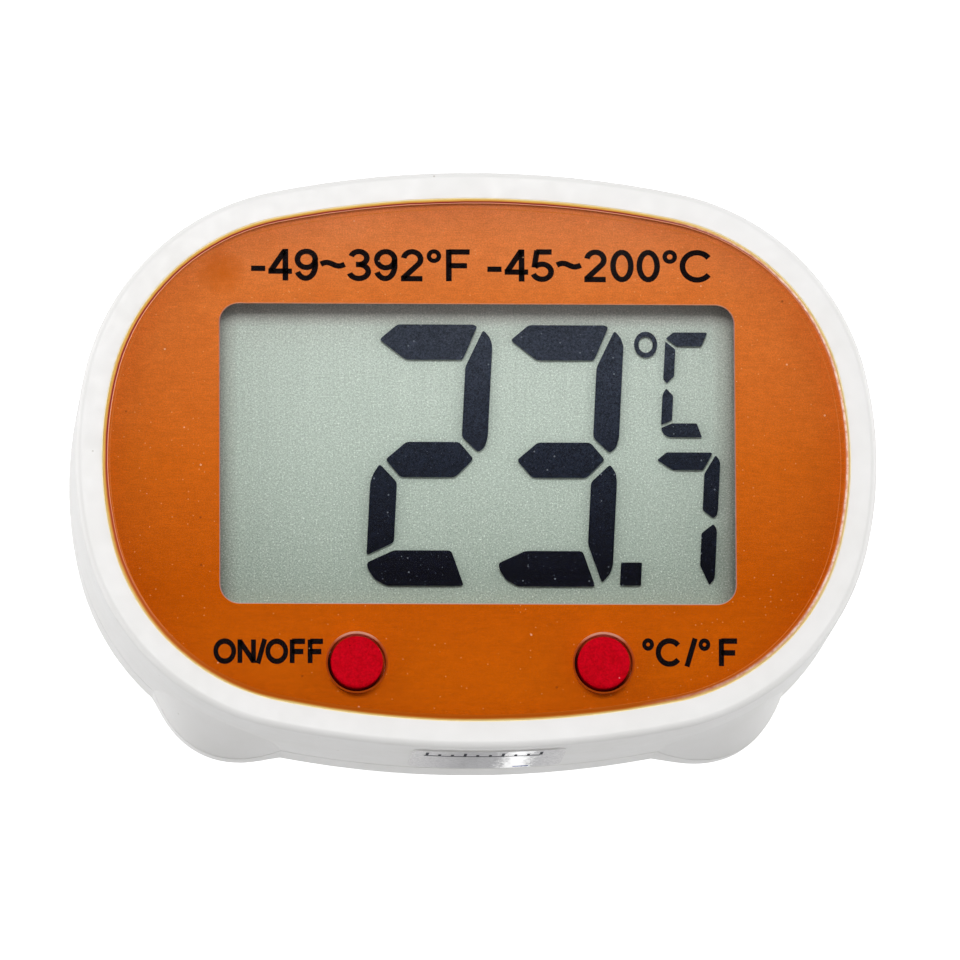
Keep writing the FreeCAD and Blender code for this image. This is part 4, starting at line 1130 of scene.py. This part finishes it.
# ------------------------------------------------------------------ stage
def add_floor():
    """A wide, plain, pale floor just below the stem's point."""
    g = Graph("studio_floor")
    tone = g.ramp(g.noise(60.0, 3.0), [(0.3, srgb(243, 243, 243)), (0.7, srgb(246, 246, 246))])
    matt = g.principled(Base_Color=tone, Roughness=0.85)
    path = g.node("LightPath")
    to_camera = g.remap(path.outputs["Is Camera Ray"], 0.0, 1.0, GLOW_UNSEEN, GLOW_SEEN)
    to_mirror = g.math("MULTIPLY", path.outputs["Is Glossy Ray"], GLOW_MIRRORED)
    strength = g.math("ADD", to_camera, to_mirror)
    glow = g.node("Emission", {"Color": CLEAR, "Strength": strength}).outputs[0]
    both = g.node("AddShader")
    g.put(both.inputs[0], matt)
    g.put(both.inputs[1], glow)
    material = g.finish(both.outputs[0])
    material.cycles.emission_sampling = "NONE"
    bm = bmesh.new()
    bmesh.ops.create_circle(bm, cap_ends=True, segments=96, radius=FLOOR_RADIUS_M)
    mesh = bpy.data.meshes.new("studio_floor")
    bm.to_mesh(mesh)
    bm.free()
    mesh.materials.append(material)
    floor = bpy.data.objects.new("studio_floor", mesh)
    floor.location.z = CAD_BOUNDS[0].z - FLOOR_GAP * MM
    bpy.context.scene.collection.objects.link(floor)


def aim(location, target):
    """Rotation that points an object's -Z from location to target, with +Y upwards."""
    back = (location - target).normalized()
    right = Vector((0, 1, 0)).cross(back).normalized()
    up = back.cross(right)
    return Matrix((right, up, back)).transposed()


def add_key_light():
    """One large soft light from the display's top side."""
    centre = Vector((0, 0, LENS_FRONT_Z * MM))
    location = centre + Vector(KEY_LIGHT_WAY).normalized() * KEY_LIGHT_DISTANCE_M
    light = bpy.data.lights.new("key", "AREA")
    light.shape = "RECTANGLE"
    light.size, light.size_y = KEY_LIGHT_SIZE_M
    light.energy = KEY_LIGHT_WATTS
    box = bpy.data.objects.new("key", light)
    box.matrix_world = Matrix.Translation(location) @ aim(location, centre).to_4x4()
    bpy.context.scene.collection.objects.link(box)


def add_surround():
    """A pale surround: white to the camera, and for the rest brightest low at the sides."""
    g = Graph("surround", world=True)
    parts = g.node("SeparateXYZ", {"Vector": g.coords.outputs["Generated"]})
    across, along, up = list(parts.outputs)
    low_sides = g.math("MULTIPLY", g.math("MULTIPLY", across, across), g.math("SUBTRACT", 1.0, up))
    from_sides = g.math("MULTIPLY", low_sides, SIDE_FILL)
    strength = g.math("ADD", from_sides, g.remap(along, *LENGTHWAYS_FILL))
    fill = g.node("Background", {"Color": CLEAR, "Strength": strength}).outputs[0]
    seen = g.node("Background", {"Color": CLEAR, "Strength": 1.0}).outputs[0]
    to_camera = g.node("LightPath").outputs["Is Camera Ray"]
    bpy.context.scene.world = g.finish(g.shader_mix(to_camera, fill, seen))


def add_camera():
    """Long lens, 1 m from the display, a little below and to the left of its axis."""
    left = math.tan(math.radians(CAMERA_LEFT_DEG))
    below = math.tan(math.radians(CAMERA_BELOW_DEG))
    back = Vector((-left, -below, 1.0)).normalized()
    turn = aim(back, Vector((0, 0, 0)))
    centre = Vector((0, 0, LENS_FRONT_Z * MM))
    target = centre + turn.col[0] * CAMERA_AIM_RIGHT * MM - turn.col[1] * CAMERA_AIM_DOWN * MM
    roll = Matrix.Rotation(math.radians(CAMERA_ROLL_DEG), 3, "Z")
    data = bpy.data.cameras.new("camera")
    data.sensor_width = CAMERA_SENSOR_MM
    data.lens = CAMERA_FOCAL_MM
    data.clip_start = 0.01
    data.clip_end = 50.0
    camera = bpy.data.objects.new("camera", data)
    location = target + back * CAMERA_DISTANCE_M
    camera.matrix_world = Matrix.Translation(location) @ (turn @ roll).to_4x4()
    bpy.context.scene.collection.objects.link(camera)
    bpy.context.scene.camera = camera


def set_look():
    """Plain colour transform, and few bounces to keep the renders short."""
    scene = bpy.context.scene
    scene.view_settings.view_transform = "Standard"
    scene.view_settings.look = "None"
    scene.cycles.transparent_max_bounces = 32
    scene.cycles.max_bounces = 8
    scene.cycles.diffuse_bounces = 3
    scene.cycles.glossy_bounces = 3
    scene.cycles.caustics_reflective = False
    scene.cycles.caustics_refractive = False
    scene.cycles.use_denoising = True


paint_frame()
add_reading()
add_print()
add_label_marks()
add_floor()
add_key_light()
add_surround()
add_camera()
set_look()
